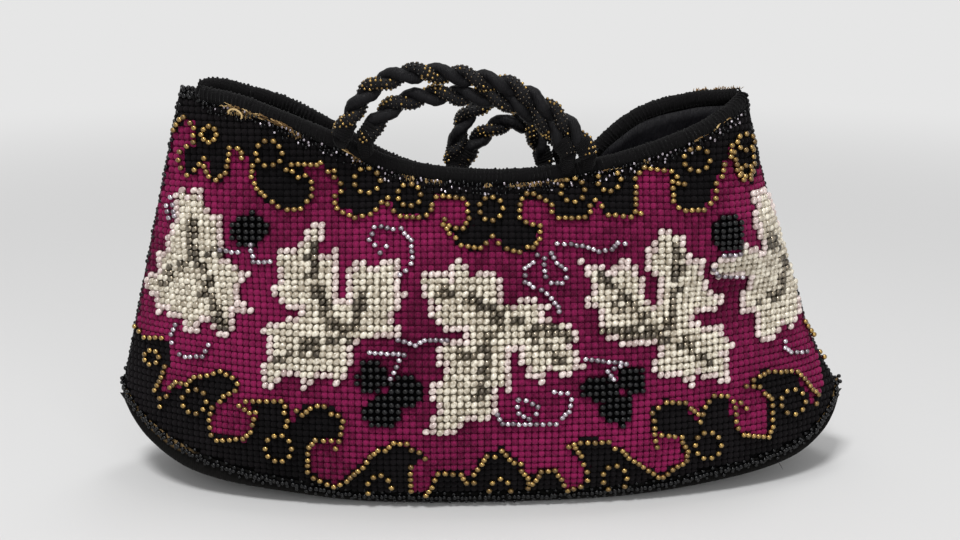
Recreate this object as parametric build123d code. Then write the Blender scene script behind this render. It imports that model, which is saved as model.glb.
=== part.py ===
"""Beaded wool-work handbag: two embroidered canvas panels joined over a boat-shaped base.

Frame: X to the right, Y away from the viewer, Z up. The origin is on the table, under the
middle of the bag. The front panel faces -Y. All sizes are in millimetres.
"""
from build123d import *
from math import cos, pi, radians, sin
import os

# Overall shape of the bag
HALF_WIDTH = 142.0
LEFT_CORNER_Z = 32.0
RIGHT_CORNER_Z = 29.0
LEFT_TOP = (-110.0, 152.0)
RIGHT_TOP = (96.0, 148.0)
RIGHT_SEAM_BOW = -8.0
FLAT_REST = 42.0
BASE_EDGE = 4.5

# Cloth layers
WALL = 2.2
LINING = 0.9
LINING_DROP = 6.9

# Belly: half thickness at each height, front and back alike below the mouth
BELLY = [(-4, 29), (4, 40), (14, 43.5), (30, 44.5), (55, 40), (80, 29), (100, 18),
         (118, 9.5), (135, 8), (165, 7)]
BACK_MOUTH = 0.72
MOUTH_START = 70.0
MOUTH_FULL = 118.0
FRONT_OPENING = (2.6, 1.3)
BACK_OPENING = (3.4, 2.4)
LENS_POWER = 2.2
LENS_EDGE = 0.75

# Top edge of each panel: height along the bag
FRONT_RIM = [(-122, 159), (-110, 152), (-88, 147), (-60, 136), (-32, 124), (5, 120),
             (41, 124.5), (70, 134), (85, 141), (96, 148), (108, 156)]
BACK_RIM = [(-122, 159), (-110, 152), (-88, 149), (-60, 139), (-32, 122), (5, 113.5),
            (35, 118), (60, 136), (78, 144), (96, 148), (108, 156)]

# Lowest line of the base along the bag, up to its lifted corners
HULL = [(-71, 3.5), (31 - HALF_WIDTH, 9), (12 - HALF_WIDTH, 19)]
HULL_RIGHT = [(78, 3.5), (HALF_WIDTH - 26, 9), (HALF_WIDTH - 10, 17)]

# Reach of the cutting prisms: along Y, and along X
FAR = 200.0
SPREAD = 170.0
CORNER_LIFT = 40.0

# Places at which the cloth is cut into flat gores: shares of the width, and heights
STATIONS = (-1, -0.985, -0.94, -0.86, -0.74, -0.58, -0.4, -0.2, 0, 0.2, 0.4, 0.58, 0.74, 0.86, 0.94,
            0.985, 1)
LEVELS = (-4, 5, 16, 30, 48, 68, 88, 106, 122, 140, 165)

# Edgings
BINDING_RADIUS = 3.4
BINDING_DROP = 2.4
CLOTH_DROP = 6.7
SIDE_BEAD_RADIUS = 1.9
BOTTOM_BEAD_RADIUS = 1.7
RIM_STATIONS = (-104, -88, -74, -60, -46, -32, -14, 5, 23, 41, 56, 70, 85, 90)
SIDE_TRIM = 3.0
SIDE_GAP = 0.3
BOTTOM_TRIM = 3.0
BOTTOM_STATIONS = (BOTTOM_TRIM - HALF_WIDTH, 12 - HALF_WIDTH, 31 - HALF_WIDTH, -91, -71, -FLAT_REST, -14, 14,
                   FLAT_REST, 78, 97, HALF_WIDTH - 26, HALF_WIDTH - 10, HALF_WIDTH - BOTTOM_TRIM)
BORDER_LIFT = 2.9
EDGE_SIDES = 8
SEAT_GAP = 0.2

# Beadwork relief on the canvas
SEAM_MARGIN = 2.5
BORDER_RAISE = 0.9
LEAF_RAISE = 2.0

# Handles: pairs of twisted cords, sewn to the bindings at their ends
ROPE_RADIUS = 2.75
ROPE_SIDES = 6
ROPE_STEPS = 14
KNOT_RADIUS = 3.15
KNOT_LENGTH = 6.8
KNOT_GAP = 0.5
FRONT_SEATS = ((-55.0, 20.0), (38.0, 45.0))
BACK_SEATS = ((-17.5, 20.0), (32.0, 20.0))
FRONT_LEAN = 0.05
BACK_LEAN = -0.12

# Each cord as seen from the front: place along the bag and height above the sewn ends
FRONT_OUTER = [(-52.5, 0), (-47.5, 11), (-38, 22), (-23, 26), (-6, 24.5), (9, 24), (21, 18), (30, 9),
               (35.5, 0)]
FRONT_INNER = [(-44, 0), (-39, 8), (-30, 15), (-18, 17.5), (-6, 18), (6, 17.5), (15.5, 13.5), (22, 7),
               (26, 0)]
BACK_OUTER = [(-15, 0), (-12.5, 10), (-9, 19), (-1, 25.5), (9, 26.5), (19, 22), (26, 12), (29.5, 0)]
BACK_INNER = [(-7.5, 0), (-4, 7.5), (1, 13.5), (8, 17), (15, 15.5), (19.5, 9), (22, 0)]
BACK_SPLAY = 0.4

# Leaves, in front view
LEAVES = [
    [(-111, 115), (-102, 112), (-96, 105), (-96, 93), (-86, 84), (-84, 72), (-94, 70), (-94, 61),
     (-109, 62), (-124, 65), (-127, 76), (-119, 90), (-114, 106)],
    [(-61, 104), (-60, 92), (-54, 93), (-53, 77), (-51, 88), (-32, 90), (-35, 72), (-32, 64), (-50, 62),
     (-52, 50), (-66, 46), (-83, 46), (-80, 64), (-67, 71), (-78, 80), (-76, 95), (-67, 95)],
    [(-13, 89), (4, 87), (6, 76), (20, 76), (21, 69), (32, 64), (29, 58), (35, 53), (18, 48), (9, 60),
     (6, 44), (-2, 42), (-3, 34), (-22, 29), (-18, 43), (-20, 58), (-9, 65), (-23, 74), (-26, 83)],
    [(66, 102), (73, 90), (80, 88), (87, 73), (74, 66), (86, 62), (92, 57), (88, 45), (73, 43), (60, 51),
     (61, 59), (40, 64), (33, 75), (36, 80), (33, 89), (55, 86), (59, 74), (56, 94)],
    [(98, 109), (105, 109), (112, 97), (119, 81), (121, 68), (118, 58), (106, 54), (101, 57),
     (94, 70), (98, 78), (95, 83), (82, 85), (97, 92)],
]
GRAPES = [(-86, 101, 5.5), (87, 98, 5.5), (-43, 51, 5), (-30, 46, 5), (-39, 38, 6), (37, 46, 5),
          (52, 48, 5), (46, 38, 5.5)]
GRAPE_SIDES = 8

# Lower edge of the black border under the rim, and upper edge of the black border over the base
UPPER_SCALLOPS = [(-118, 134), (-108, 138), (-110, 121), (-100, 117), (-91, 129), (-85, 123),
                  (-84, 113), (-66, 108), (-63, 120), (-55, 116), (-55, 107), (-42, 104), (-37, 111),
                  (-32, 105), (-21, 105), (-18, 111), (-9, 110), (-6, 101), (-15, 101), (-9, 93),
                  (17, 94), (19, 101), (12, 103), (13, 110), (22, 110), (27, 104), (36, 104),
                  (39, 110), (43, 105), (53, 105), (55, 121), (66, 121), (67, 108), (79, 107),
                  (89, 129), (93, 117), (103, 119), (110, 134)]
LOWER_SCALLOPS = [(-142, 58), (-128, 56), (-119, 55), (-125, 38), (-113, 43), (-97, 49), (-92, 43),
                  (-102, 35), (-102, 24), (-90, 24), (-85, 36), (-75, 42), (-70, 37), (-61, 41),
                  (-54, 36), (-55, 28), (-66, 26), (-66, 14), (-58, 9), (-42, 24), (-34, 28),
                  (-25, 22), (-29, 12), (-25, 10), (-20, 16), (-8, 12), (3, 25), (13, 12), (24, 16),
                  (31, 11), (29, 25), (42, 27), (63, 10), (72, 15), (70, 26), (59, 27), (62, 39),
                  (71, 38), (77, 31), (88, 38), (92, 25), (105, 21), (106, 34), (96, 40), (105, 44),
                  (118, 42), (126, 30), (133, 43), (142, 47)]


class Profile:
    """A smooth line through a few chosen points, read as a height for each place."""

    def __init__(self, points):
        self.points = sorted(points)

    def slope(self, i):
        a = self.points[max(i - 1, 0)]
        b = self.points[min(i + 1, len(self.points) - 1)]
        return (b[1] - a[1]) / (b[0] - a[0])

    def __call__(self, x):
        last = len(self.points) - 2
        i = 0
        while i < last and x > self.points[i + 1][0]:
            i += 1
        (x0, y0), (x1, y1) = self.points[i], self.points[i + 1]
        step = x1 - x0
        t = min(max((x - x0) / step, 0.0), 1.0)
        m0, m1 = self.slope(i) * step, self.slope(i + 1) * step
        return ((2 * t**3 - 3 * t**2 + 1) * y0 + (t**3 - 2 * t**2 + t) * m0
                + (3 * t**2 - 2 * t**3) * y1 + (t**3 - t**2) * m1)


HULL_POINTS = sorted(HULL + HULL_RIGHT + [(-FLAT_REST, 0), (FLAT_REST, 0)]
                     + [(-HALF_WIDTH, LEFT_CORNER_Z), (HALF_WIDTH, RIGHT_CORNER_Z)])
belly = Profile(BELLY)


def height_on(points, x):
    """Height at x of the straight runs through a row of points."""
    for (x0, z0), (x1, z1) in zip(points, points[1:]):
        if x <= x1:
            break
    return z0 + (z1 - z0) * (x - x0) / (x1 - x0)


def rim_z(x, face):
    """Height of one panel's top edge."""
    return height_on(FRONT_RIM if face < 0 else BACK_RIM, x)


def side_seam_x(z, side):
    """Place of the side seam at a height; side is -1 on the left and 1 on the right."""
    top_x, top_z = LEFT_TOP if side < 0 else RIGHT_TOP
    low_z = LEFT_CORNER_Z if side < 0 else RIGHT_CORNER_Z
    bow = 0.0 if side < 0 else RIGHT_SEAM_BOW
    t = (z - low_z) / (top_z - low_z)
    return side * HALF_WIDTH + (top_x - side * HALF_WIDTH) * t + bow * 4 * t * (1 - t) * (t > 0)


def opening(z):
    """How far the mouth shape has taken over from the belly shape, from 0 to 1."""
    t = min(max((z - MOUTH_START) / (MOUTH_FULL - MOUTH_START), 0.0), 1.0)
    return t * t * (3 - 2 * t)


def cloth_y(x, z, face, grow=0.0):
    """Y of the cloth at a place; face is -1 on the front and 1 on the back."""
    left = side_seam_x(z, -1) - grow
    right = side_seam_x(z, 1) + grow
    s = (2 * x - left - right) / (right - left)
    s = min(max(s, -1.0), 1.0)
    lens = (1 - abs(s)**LENS_POWER)**LENS_EDGE
    base, lean = FRONT_OPENING if face < 0 else BACK_OPENING
    pinch = 1 - (1 - BACK_MOUTH) * opening(z) * (face > 0)
    depth = belly(z) * pinch * lens * (1 + opening(z) * (base + lean * s) * s * s)
    return face * (depth + grow * (1 - s**8))


def cloth_x(z, s, grow):
    """Place along the bag at a share s of the width, from -1 at the left seam to 1."""
    left = side_seam_x(z, -1) - grow
    right = side_seam_x(z, 1) + grow
    return (left + right) / 2 + (right - left) / 2 * s


def bag_form(grow):
    """The whole bag as one closed form, its skin moved out by grow and cut into flat gores."""
    rings = []
    for z in LEVELS:
        xs = [cloth_x(z, s, grow) for s in STATIONS]
        front = [Vector(x, cloth_y(x, z, -1, grow), z) for x in xs]
        back = [Vector(x, cloth_y(x, z, 1, grow), z) for x in reversed(xs[1:-1])]
        rings.append(front + back)
    faces = [make_face(Polyline(*ring, close=True)) for ring in (rings[0], rings[-1])]
    for low, high in zip(rings, rings[1:]):
        for i in range(len(low)):
            j = (i + 1) % len(low)
            faces.append(make_face(Polyline(low[i], low[j], high[j], close=True)))
            faces.append(make_face(Polyline(low[i], high[j], high[i], close=True)))
    return Solid(Shell(faces))


def side_view(points, near, far):
    """A prism along Y between near and far over an outline of (x, z) points."""
    outline = make_face(Polyline(*[(x, 0, z) for x, z in points], close=True))
    prism = extrude(outline, amount=far - near, dir=(0, 1, 0))
    return prism.moved(Location((0, near, 0)))


def above_hull(lift):
    """Everything above the base's lowest line, raised by lift."""
    line = [(x, z + lift) for x, z in HULL_POINTS]
    ends = [(SPREAD, RIGHT_CORNER_Z + CORNER_LIFT + lift), (SPREAD, FAR), (-SPREAD, FAR),
            (-SPREAD, LEFT_CORNER_Z + CORNER_LIFT + lift)]
    return side_view(line + ends, -FAR, FAR)


def face_prism(points, face):
    """A prism over an outline of (x, z) points, on one face of the bag only."""
    near, far = (-FAR, 0) if face < 0 else (0, FAR)
    return side_view(points, near, far)


def below_rim(face, drop):
    """Everything on one face of the bag under its top edge, lowered by drop."""
    top = [(x, z - drop) for x, z in (FRONT_RIM if face < 0 else BACK_RIM)]
    ends = [(SPREAD, top[-1][1]), (SPREAD, -FAR), (-SPREAD, -FAR), (-SPREAD, top[0][1])]
    return face_prism(top + ends, face)


def tube(points, radius, sides):
    """A cord of flats laid along straight runs with mitred corners."""
    path = Polyline(*points)
    start = Plane(origin=path @ 0, z_dir=path % 0)
    return sweep(start * RegularPolygon(radius, sides), path=path, transition=Transition.RIGHT)


outer = bag_form(0)
inner = bag_form(-WALL)
inmost = bag_form(-WALL - LINING)


def make_panel(face):
    """One embroidered canvas panel, from the base seam up to its rim."""
    shell = (outer - inner) & below_rim(face, CLOTH_DROP)
    return shell & above_hull(BASE_EDGE)


def make_base():
    """The boat-shaped base, open above, with its shallow edge up to the seams."""
    body = (outer & above_hull(0)) - (inner & above_hull(WALL))
    return body - above_hull(BASE_EDGE)


def make_lining():
    """The satin lining: a thin bag inside the canvas, hemmed below the bindings."""
    bag = (inner & above_hull(WALL)) - (inmost & above_hull(WALL + LINING))
    return bag & (below_rim(-1, LINING_DROP) + below_rim(1, LINING_DROP))


def side_edging(side):
    """The jet edging that covers one side seam."""
    low_z = (LEFT_CORNER_Z if side < 0 else RIGHT_CORNER_Z) + SIDE_TRIM
    top_z = (LEFT_TOP if side < 0 else RIGHT_TOP)[1] - SIDE_TRIM
    seam = [(z, side_seam_x(z, side)) for z in LEVELS]
    heights = [low_z] + [z for z in LEVELS if low_z + SIDE_TRIM < z < top_z - SIDE_TRIM] + [top_z]
    reach = side * (SIDE_BEAD_RADIUS + SIDE_GAP)
    return tube([(height_on(seam, z) + reach, 0, z) for z in heights], SIDE_BEAD_RADIUS, EDGE_SIDES)


def bottom_edging(face):
    """The jet edging along one seam between a panel and the base."""
    points = []
    for x in BOTTOM_STATIONS:
        z = height_on(HULL_POINTS, x) + BASE_EDGE
        points.append((x, cloth_y(x, z, face) + face * BOTTOM_BEAD_RADIUS / 2, z))
    return tube(points, BOTTOM_BEAD_RADIUS, EDGE_SIDES) - outer


def binding_center(x, face):
    z = rim_z(x, face) - BINDING_DROP
    y = abs(cloth_y(x, z, face, -WALL / 2))
    return Vector(x, face * max(y, BINDING_RADIUS + SEAT_GAP), z)


def make_binding(face):
    """The rolled binding along one panel's top edge, seated on the canvas."""
    points = [tuple(binding_center(x, face)) for x in RIM_STATIONS]
    return tube(points, BINDING_RADIUS, EDGE_SIDES)


def seat(x, face, rise):
    """Centre of a handle's sewn end beside the binding; rise is its angle above the outside."""
    reach = BINDING_RADIUS + KNOT_RADIUS + KNOT_GAP
    outside = Vector(0, face * cos(radians(rise)), sin(radians(rise)))
    return binding_center(x, face) + outside * reach


def handle_axis(seats, face):
    """The line through a handle's sewn ends, about which it swings."""
    left, right = (seat(x, face, rise) for x, rise in seats)
    return left, right


def make_rope(outline, seats, face, lean, shift=0.0):
    """One twisted cord of a handle, with the sewn knot at each of its ends."""
    left, right = handle_axis(seats, face)
    along = right - left
    points = []
    last = len(outline) - 1
    for i, (x, height) in enumerate(outline):
        base = left + along * ((x - left.X) / along.X)
        side = shift * min(i, last - i, 2) / 2
        points.append((x, base.Y + face * (height * lean + side), base.Z + height))
    line = Spline(*points)
    route = [line @ (i / ROPE_STEPS) for i in range(ROPE_STEPS + 1)]
    cord = tube(route, ROPE_RADIUS, ROPE_SIDES)
    for end in (points[0], points[-1]):
        middle = Vector(*end)
        start = middle - along.normalized() * (KNOT_LENGTH / 2)
        knot = extrude(Plane(origin=start, z_dir=along) * RegularPolygon(KNOT_RADIUS, ROPE_SIDES),
                       amount=KNOT_LENGTH)
        cord = cord + knot
    return cord


def raised_skin(raise_by):
    """A thin layer lying on the outside of the bag, kept clear of the side edgings."""
    left = [(side_seam_x(z, -1) + SEAM_MARGIN, z) for z in LEVELS]
    right = [(side_seam_x(z, 1) - SEAM_MARGIN, z) for z in LEVELS]
    return (bag_form(raise_by) - outer) & side_view(left + right[::-1], -FAR, FAR)


def make_leaves(face, skin):
    """The five vine leaves of one panel, each its own raised field of beads."""
    return Compound([(skin & face_prism(points, face)).solids()[0] for points in LEAVES])


def make_grapes(face, skin):
    """The grape clusters of one panel."""
    fields = []
    for x, z, radius in GRAPES:
        ring = [(x + radius * cos(2 * pi * i / GRAPE_SIDES), z + radius * sin(2 * pi * i / GRAPE_SIDES))
                for i in range(GRAPE_SIDES)]
        fields.append((skin & face_prism(ring, face)).solids()[0])
    return Compound(fields)


def make_upper_border(face, skin):
    """The black scalloped border hanging from the rim."""
    top = [(SPREAD, FAR), (-SPREAD, FAR), (-SPREAD, UPPER_SCALLOPS[0][1])]
    points = UPPER_SCALLOPS + [(SPREAD, UPPER_SCALLOPS[-1][1])] + top
    return skin & face_prism(points, face) & below_rim(face, CLOTH_DROP)


def make_lower_border(face, skin):
    """The black scalloped border standing on the base seam."""
    low = [(SPREAD, LOWER_SCALLOPS[-1][1]), (SPREAD, -FAR), (-SPREAD, -FAR),
           (-SPREAD, LOWER_SCALLOPS[0][1])]
    return skin & face_prism(LOWER_SCALLOPS + low, face) & above_hull(BASE_EDGE + BORDER_LIFT)


border_skin = raised_skin(BORDER_RAISE)
leaf_skin = raised_skin(LEAF_RAISE)

parts = {
    "base_panel": make_base(),
    "lining": make_lining(),
    "left_seam_edging": side_edging(-1),
    "right_seam_edging": side_edging(1),
}
for word, face in (("front", -1), ("back", 1)):
    parts[f"{word}_panel"] = make_panel(face)
    parts[f"{word}_rim_binding"] = make_binding(face)
    parts[f"{word}_bottom_edging"] = bottom_edging(face)
    parts[f"{word}_upper_border"] = make_upper_border(face, border_skin)
    parts[f"{word}_lower_border"] = make_lower_border(face, border_skin)
    parts[f"{word}_leaves"] = make_leaves(face, leaf_skin)
    parts[f"{word}_grapes"] = make_grapes(face, leaf_skin)
parts["front_handle_outer_cord"] = make_rope(FRONT_OUTER, FRONT_SEATS, -1, FRONT_LEAN)
parts["front_handle_inner_cord"] = make_rope(FRONT_INNER, FRONT_SEATS, -1, FRONT_LEAN, -1.0)
parts["rear_handle_outer_cord"] = make_rope(BACK_OUTER, BACK_SEATS, 1, BACK_LEAN)
parts["rear_handle_inner_cord"] = make_rope(BACK_INNER, BACK_SEATS, 1, BACK_LEAN, BACK_SPLAY)

for word, seats, face in (("front", FRONT_SEATS, -1), ("rear", BACK_SEATS, 1)):
    print(word, "handle axis", *handle_axis(seats, face))

os.makedirs("parts", exist_ok=True)
for name, solid in parts.items():
    export_step(solid, f"parts/{name}.step")
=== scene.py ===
"""Beaded wool-work handbag: the visual model of the embroidered panels, beads, edgings and handles.

Lengths in the classes are millimetres unless a name says metres. Meshes are written in metres, in the
frame of the model: X to the right, Y away from the viewer, Z up, the origin on the table.
"""
import logging
import math
import random
from collections.abc import Callable
from dataclasses import dataclass, field
from enum import Enum

import bmesh
import bpy
import numpy as np
from mathutils import Matrix, Vector

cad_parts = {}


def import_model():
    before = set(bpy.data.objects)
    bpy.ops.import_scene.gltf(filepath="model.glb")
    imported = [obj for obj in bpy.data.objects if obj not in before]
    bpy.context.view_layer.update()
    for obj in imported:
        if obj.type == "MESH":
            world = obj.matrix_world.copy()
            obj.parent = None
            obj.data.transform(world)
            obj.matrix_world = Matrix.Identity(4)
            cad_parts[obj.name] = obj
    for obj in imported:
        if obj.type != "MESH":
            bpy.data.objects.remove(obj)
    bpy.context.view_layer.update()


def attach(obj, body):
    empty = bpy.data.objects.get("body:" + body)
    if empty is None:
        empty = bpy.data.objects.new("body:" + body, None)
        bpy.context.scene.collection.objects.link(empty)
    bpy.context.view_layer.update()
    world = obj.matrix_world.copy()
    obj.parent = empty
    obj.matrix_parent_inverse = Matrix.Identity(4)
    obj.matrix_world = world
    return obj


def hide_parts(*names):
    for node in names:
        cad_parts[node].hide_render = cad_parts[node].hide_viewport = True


log = logging.getLogger("handbag")

MM = 0.001
PhotoPoint = tuple[float, float]
Spot = tuple[float, float]
Span = tuple[float, float]
Paint = tuple[float, float, float]
Material = bpy.types.Material


class Side(Enum):
    """The two embroidered faces of the bag, by the direction in which they look along Y."""

    FRONT = -1
    BACK = 1

    @property
    def word(self) -> str:
        """Name of the face as the pieces use it."""
        return self.name.lower()


class Kind(Enum):
    """What fills one cell of the canvas."""

    MAGENTA = "magenta"
    BLACK = "black"
    LEAF = "leaf"
    GRAPE = "grape"


@dataclass(frozen=True)
class Profile:
    """A smooth line through a few chosen points, read as a height for each place.

    Args:
        points: Place and height pairs, in order of place.
    """

    points: tuple[Spot, ...]

    def slope(self, i: int) -> float:
        """Slope of the line at point i."""
        ax, ay = self.points[max(i - 1, 0)]
        bx, by = self.points[min(i + 1, len(self.points) - 1)]
        return (by - ay) / (bx - ax)

    def at(self, x: float) -> float:
        """Height of the line at x.

        Args:
            x: The place.

        Returns:
            The height.
        """
        i = 0
        while i < len(self.points) - 2 and x > self.points[i + 1][0]:
            i += 1
        (x0, y0), (x1, y1) = self.points[i], self.points[i + 1]
        step = x1 - x0
        t = min(max((x - x0) / step, 0.0), 1.0)
        m0, m1 = self.slope(i) * step, self.slope(i + 1) * step
        square, cube = t * t, t * t * t
        return ((2 * cube - 3 * square + 1) * y0 + (cube - 2 * square + t) * m0
                + (3 * square - 2 * cube) * y1 + (cube - square) * m1)


@dataclass(frozen=True)
class BagForm:
    """The shape of the cloth: a boat-shaped belly that narrows to a long curved mouth.

    The right seam's tuck is how far it stands out, its height and its reach. An opening is how much the
    mouth widens towards its ends, and how much more at the right.
    """

    half_width: float = 142.0
    left_corner_z: float = 32.0
    right_corner_z: float = 29.0
    left_top: Spot = (-110.0, 152.0)
    right_top: Spot = (96.0, 148.0)
    right_bow: float = -4.8
    right_tuck: tuple[float, float, float] = (-2.0, 50.0, 16.0)
    base_edge: float = 4.5
    left_rise: float = 2.8
    left_rise_x: float = -116.0
    left_rise_reach: float = 22.0
    mouth_start: float = 70.0
    mouth_full: float = 118.0
    back_mouth: float = 0.72
    front_opening: Spot = (2.6, 1.3)
    back_opening: Spot = (3.4, 2.4)
    lens_power: float = 2.2
    lens_edge: float = 0.75
    slump_depth: float = 0.9
    slump_top: float = 118.0
    slump_fade: float = 25.0
    probe: float = 0.6
    seam_gap: float = 0.05
    belly: Profile = Profile((
        (-4, 29), (4, 40), (14, 43.5), (30, 44.5), (55, 40), (80, 29), (100, 18), (118, 9.5), (135, 8),
        (165, 7)))
    front_rim: Profile = Profile((
        (-122, 159), (-110, 152), (-88, 147), (-60, 136), (-32, 124), (5, 120), (41, 124.5), (70, 134),
        (85, 141), (96, 148), (108, 156)))
    back_rim: Profile = Profile((
        (-122, 157), (-110, 152), (-97, 152), (-88, 149.5), (-74, 145), (-60, 137.5), (-32, 122),
        (5, 113.5), (35, 119.5), (48, 132), (60, 140), (78, 145), (96, 148), (108, 156)))
    hull: Profile = Profile((
        (-142, 32), (-130, 19), (-111, 9), (-71, 3.5), (-42, 0), (42, 0), (78, 3.5), (116, 9), (132, 17),
        (142, 29)))

    def seam_x(self, z: float, side: int) -> float:
        """Place of the side seam at height z; side is -1 on the left and 1 on the right.

        Args:
            z: Height.
            side: -1 on the left, 1 on the right.

        Returns:
            Its place along the bag.
        """
        top_x, top_z = self.left_top if side < 0 else self.right_top
        low_z = self.left_corner_z if side < 0 else self.right_corner_z
        bow = 0.0 if side < 0 else self.right_bow
        t = (z - low_z) / (top_z - low_z)
        deep, tuck_z, reach = self.right_tuck
        tuck = deep * math.exp(-((z - tuck_z) / reach)**2) if side > 0 else 0.0
        slant = side * self.half_width + (top_x - side * self.half_width) * t
        return slant + bow * 4 * t * (1 - t) * (t > 0) + tuck

    def rim_z(self, x: float, side: Side) -> float:
        """Height of one panel's top edge."""
        return (self.front_rim if side is Side.FRONT else self.back_rim).at(x)

    def hull_z(self, x: float) -> float:
        """Height of the lowest line of the base."""
        return self.hull.at(x)

    def foot_z(self, x: float) -> float:
        """Height of the seam between the panels and the base, which rides up at the left."""
        t = (x - self.left_rise_x) / self.left_rise_reach
        return self.hull_z(x) + self.base_edge + self.left_rise * math.exp(-t * t)

    def opening(self, z: float) -> float:
        """How far the mouth shape has taken over from the belly shape, from 0 to 1."""
        t = min(max((z - self.mouth_start) / (self.mouth_full - self.mouth_start), 0.0), 1.0)
        return t * t * (3 - 2 * t)

    def depth(self, x: float, z: float, side: Side) -> float:
        """Distance of the cloth from the bag's middle plane.

        Args:
            x: Place along the bag.
            z: Height.
            side: The face.

        Returns:
            The distance in millimetres, without the sign of the face.
        """
        left, right = self.seam_x(z, -1), self.seam_x(z, 1)
        s = min(max((2 * x - left - right) / (right - left), -1.0), 1.0)
        lens = (1 - abs(s)**self.lens_power)**self.lens_edge
        base, lean = self.front_opening if side is Side.FRONT else self.back_opening
        pinch = 1 - (1 - self.back_mouth) * self.opening(z) * (side is Side.BACK)
        return self.belly.at(z) * pinch * lens * (1 + self.opening(z) * (base + lean * s) * s * s)

    def slump(self, x: float, z: float) -> float:
        """Small unevenness of the worn cloth, fading out at its edges.

        Args:
            x: Place along the bag.
            z: Height.

        Returns:
            How far the cloth moves out.
        """
        left, right = self.seam_x(z, -1), self.seam_x(z, 1)
        s = (2 * x - left - right) / (right - left)
        fade = max(0.0, 1 - s**6) * min(1.0, max(0.0, (self.slump_top - z) / self.slump_fade))
        wave = math.sin(x * 0.045 + z * 0.021 + 0.6) + 0.6 * math.sin(x * 0.083 - z * 0.052 + 2.1)
        return -self.slump_depth * fade * (1 + 0.5 * wave)

    def point(self, x: float, z: float, side: Side, lift: float = 0.0) -> Vector:
        """A point on the cloth, moved out from it along Y by lift, in millimetres."""
        y = max(self.depth(x, z, side) + self.slump(x, z), 0.0) + lift
        return Vector((x, side.value * y, z))

    def seat(self, x: float, z: float, side: Side) -> tuple[Vector, Vector, Vector, Vector]:
        """Place and directions of the cloth at a spot.

        Args:
            x: Place along the bag.
            z: Height.
            side: The face.

        Returns:
            The point, the direction to the right along the row as seen from outside, the direction up
            the cloth and the outward normal.
        """
        step = self.probe
        here = self.point(x, z, side)
        left, right = self.seam_x(z, -1) + self.seam_gap, self.seam_x(z, 1) - self.seam_gap
        along = self.point(min(x + step, right), z, side) - self.point(max(x - step, left), z, side)
        rise = self.point(x, z + step, side) - self.point(x, z - step, side)
        out = along.cross(rise).normalized()
        if out.y * side.value < 0:
            out = -out
        along = -side.value * along.normalized()
        return here, along, out.cross(along).normalized(), out


@dataclass(frozen=True)
class PhotoView:
    """The camera of the photograph, as fitted to the bag's outline."""

    width: int = 960
    height: int = 540
    azimuth: float = 2.5
    elevation: float = 18.0
    distance: float = 480.0
    target: tuple[float, float, float] = (-2.0, 0.0, 60.0)
    focal_px: float = 1238.4
    centre_px: PhotoPoint = (480.5, 318.7)
    sensor_mm: float = 36.0
    nearest: float = 380.0
    farthest: float = 520.0
    stride: float = 2.0
    halvings: int = 14
    clip_start_m: float = 0.01

    def axes(self) -> tuple[Vector, Vector, Vector, Vector]:
        """The camera's place, its right, its up and its viewing direction, in millimetres.

        Returns:
            The place and the three directions.
        """
        az, el = math.radians(self.azimuth), math.radians(self.elevation)
        look = Vector((math.sin(az) * math.cos(el), math.cos(az) * math.cos(el), -math.sin(el)))
        right = Vector((math.cos(az), -math.sin(az), 0.0))
        return Vector(self.target) - look * self.distance, right, right.cross(look), look

    def on_cloth(self, pixel: PhotoPoint, form: BagForm) -> Spot | None:
        """Where the photograph's pixel lies on the front cloth.

        Args:
            pixel: Place in the photograph.
            form: The bag's shape.

        Returns:
            The place along the bag and the height, or None off the bag.
        """
        place, right, up, look = self.axes()
        ray = (look + right * ((pixel[0] - self.centre_px[0]) / self.focal_px)
               - up * ((pixel[1] - self.centre_px[1]) / self.focal_px))

        def past(t: float) -> float:
            """How far the ray has gone past the cloth's face at t."""
            at = place + ray * t
            return at.y + form.depth(at.x, at.z, Side.FRONT)

        near = self.nearest
        while near < self.farthest and past(near + self.stride) < 0:
            near += self.stride
        if near >= self.farthest:
            return None
        far = near + self.stride
        for _ in range(self.halvings):
            middle = (near + far) / 2
            if past(middle) < 0:
                near = middle
            else:
                far = middle
        at = place + ray * far
        return at.x, at.z

    def trace(self, pixels: tuple[PhotoPoint, ...], form: BagForm) -> list[Spot]:
        """The spots on the cloth of a row of pixels, without those that miss it."""
        spots = (self.on_cloth(pixel, form) for pixel in pixels)
        return [spot for spot in spots if spot is not None]

    def build(self) -> None:
        """Makes the scene's camera."""
        data = bpy.data.cameras.new("camera")
        data.sensor_width = self.sensor_mm
        data.lens = self.sensor_mm * self.focal_px / self.width
        data.shift_x = (self.width / 2 - self.centre_px[0]) / self.width
        data.shift_y = (self.centre_px[1] - self.height / 2) / self.width
        data.clip_start = self.clip_start_m
        camera = bpy.data.objects.new("camera", data)
        place, _, _, look = self.axes()
        camera.location = place * MM
        camera.rotation_euler = look.to_track_quat("-Z", "Y").to_euler()
        bpy.context.scene.collection.objects.link(camera)
        bpy.context.scene.camera = camera


def inside(spot: Spot, outline: list[Spot]) -> bool:
    """Whether a spot lies within a closed outline.

    Args:
        spot: The spot.
        outline: Its corners in turn.

    Returns:
        True where it does.
    """
    x, z = spot
    hit = False
    for (x0, z0), (x1, z1) in zip(outline, outline[1:] + outline[:1]):
        if (z0 > z) != (z1 > z) and x < x0 + (x1 - x0) * (z - z0) / (z1 - z0):
            hit = not hit
    return hit


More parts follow.
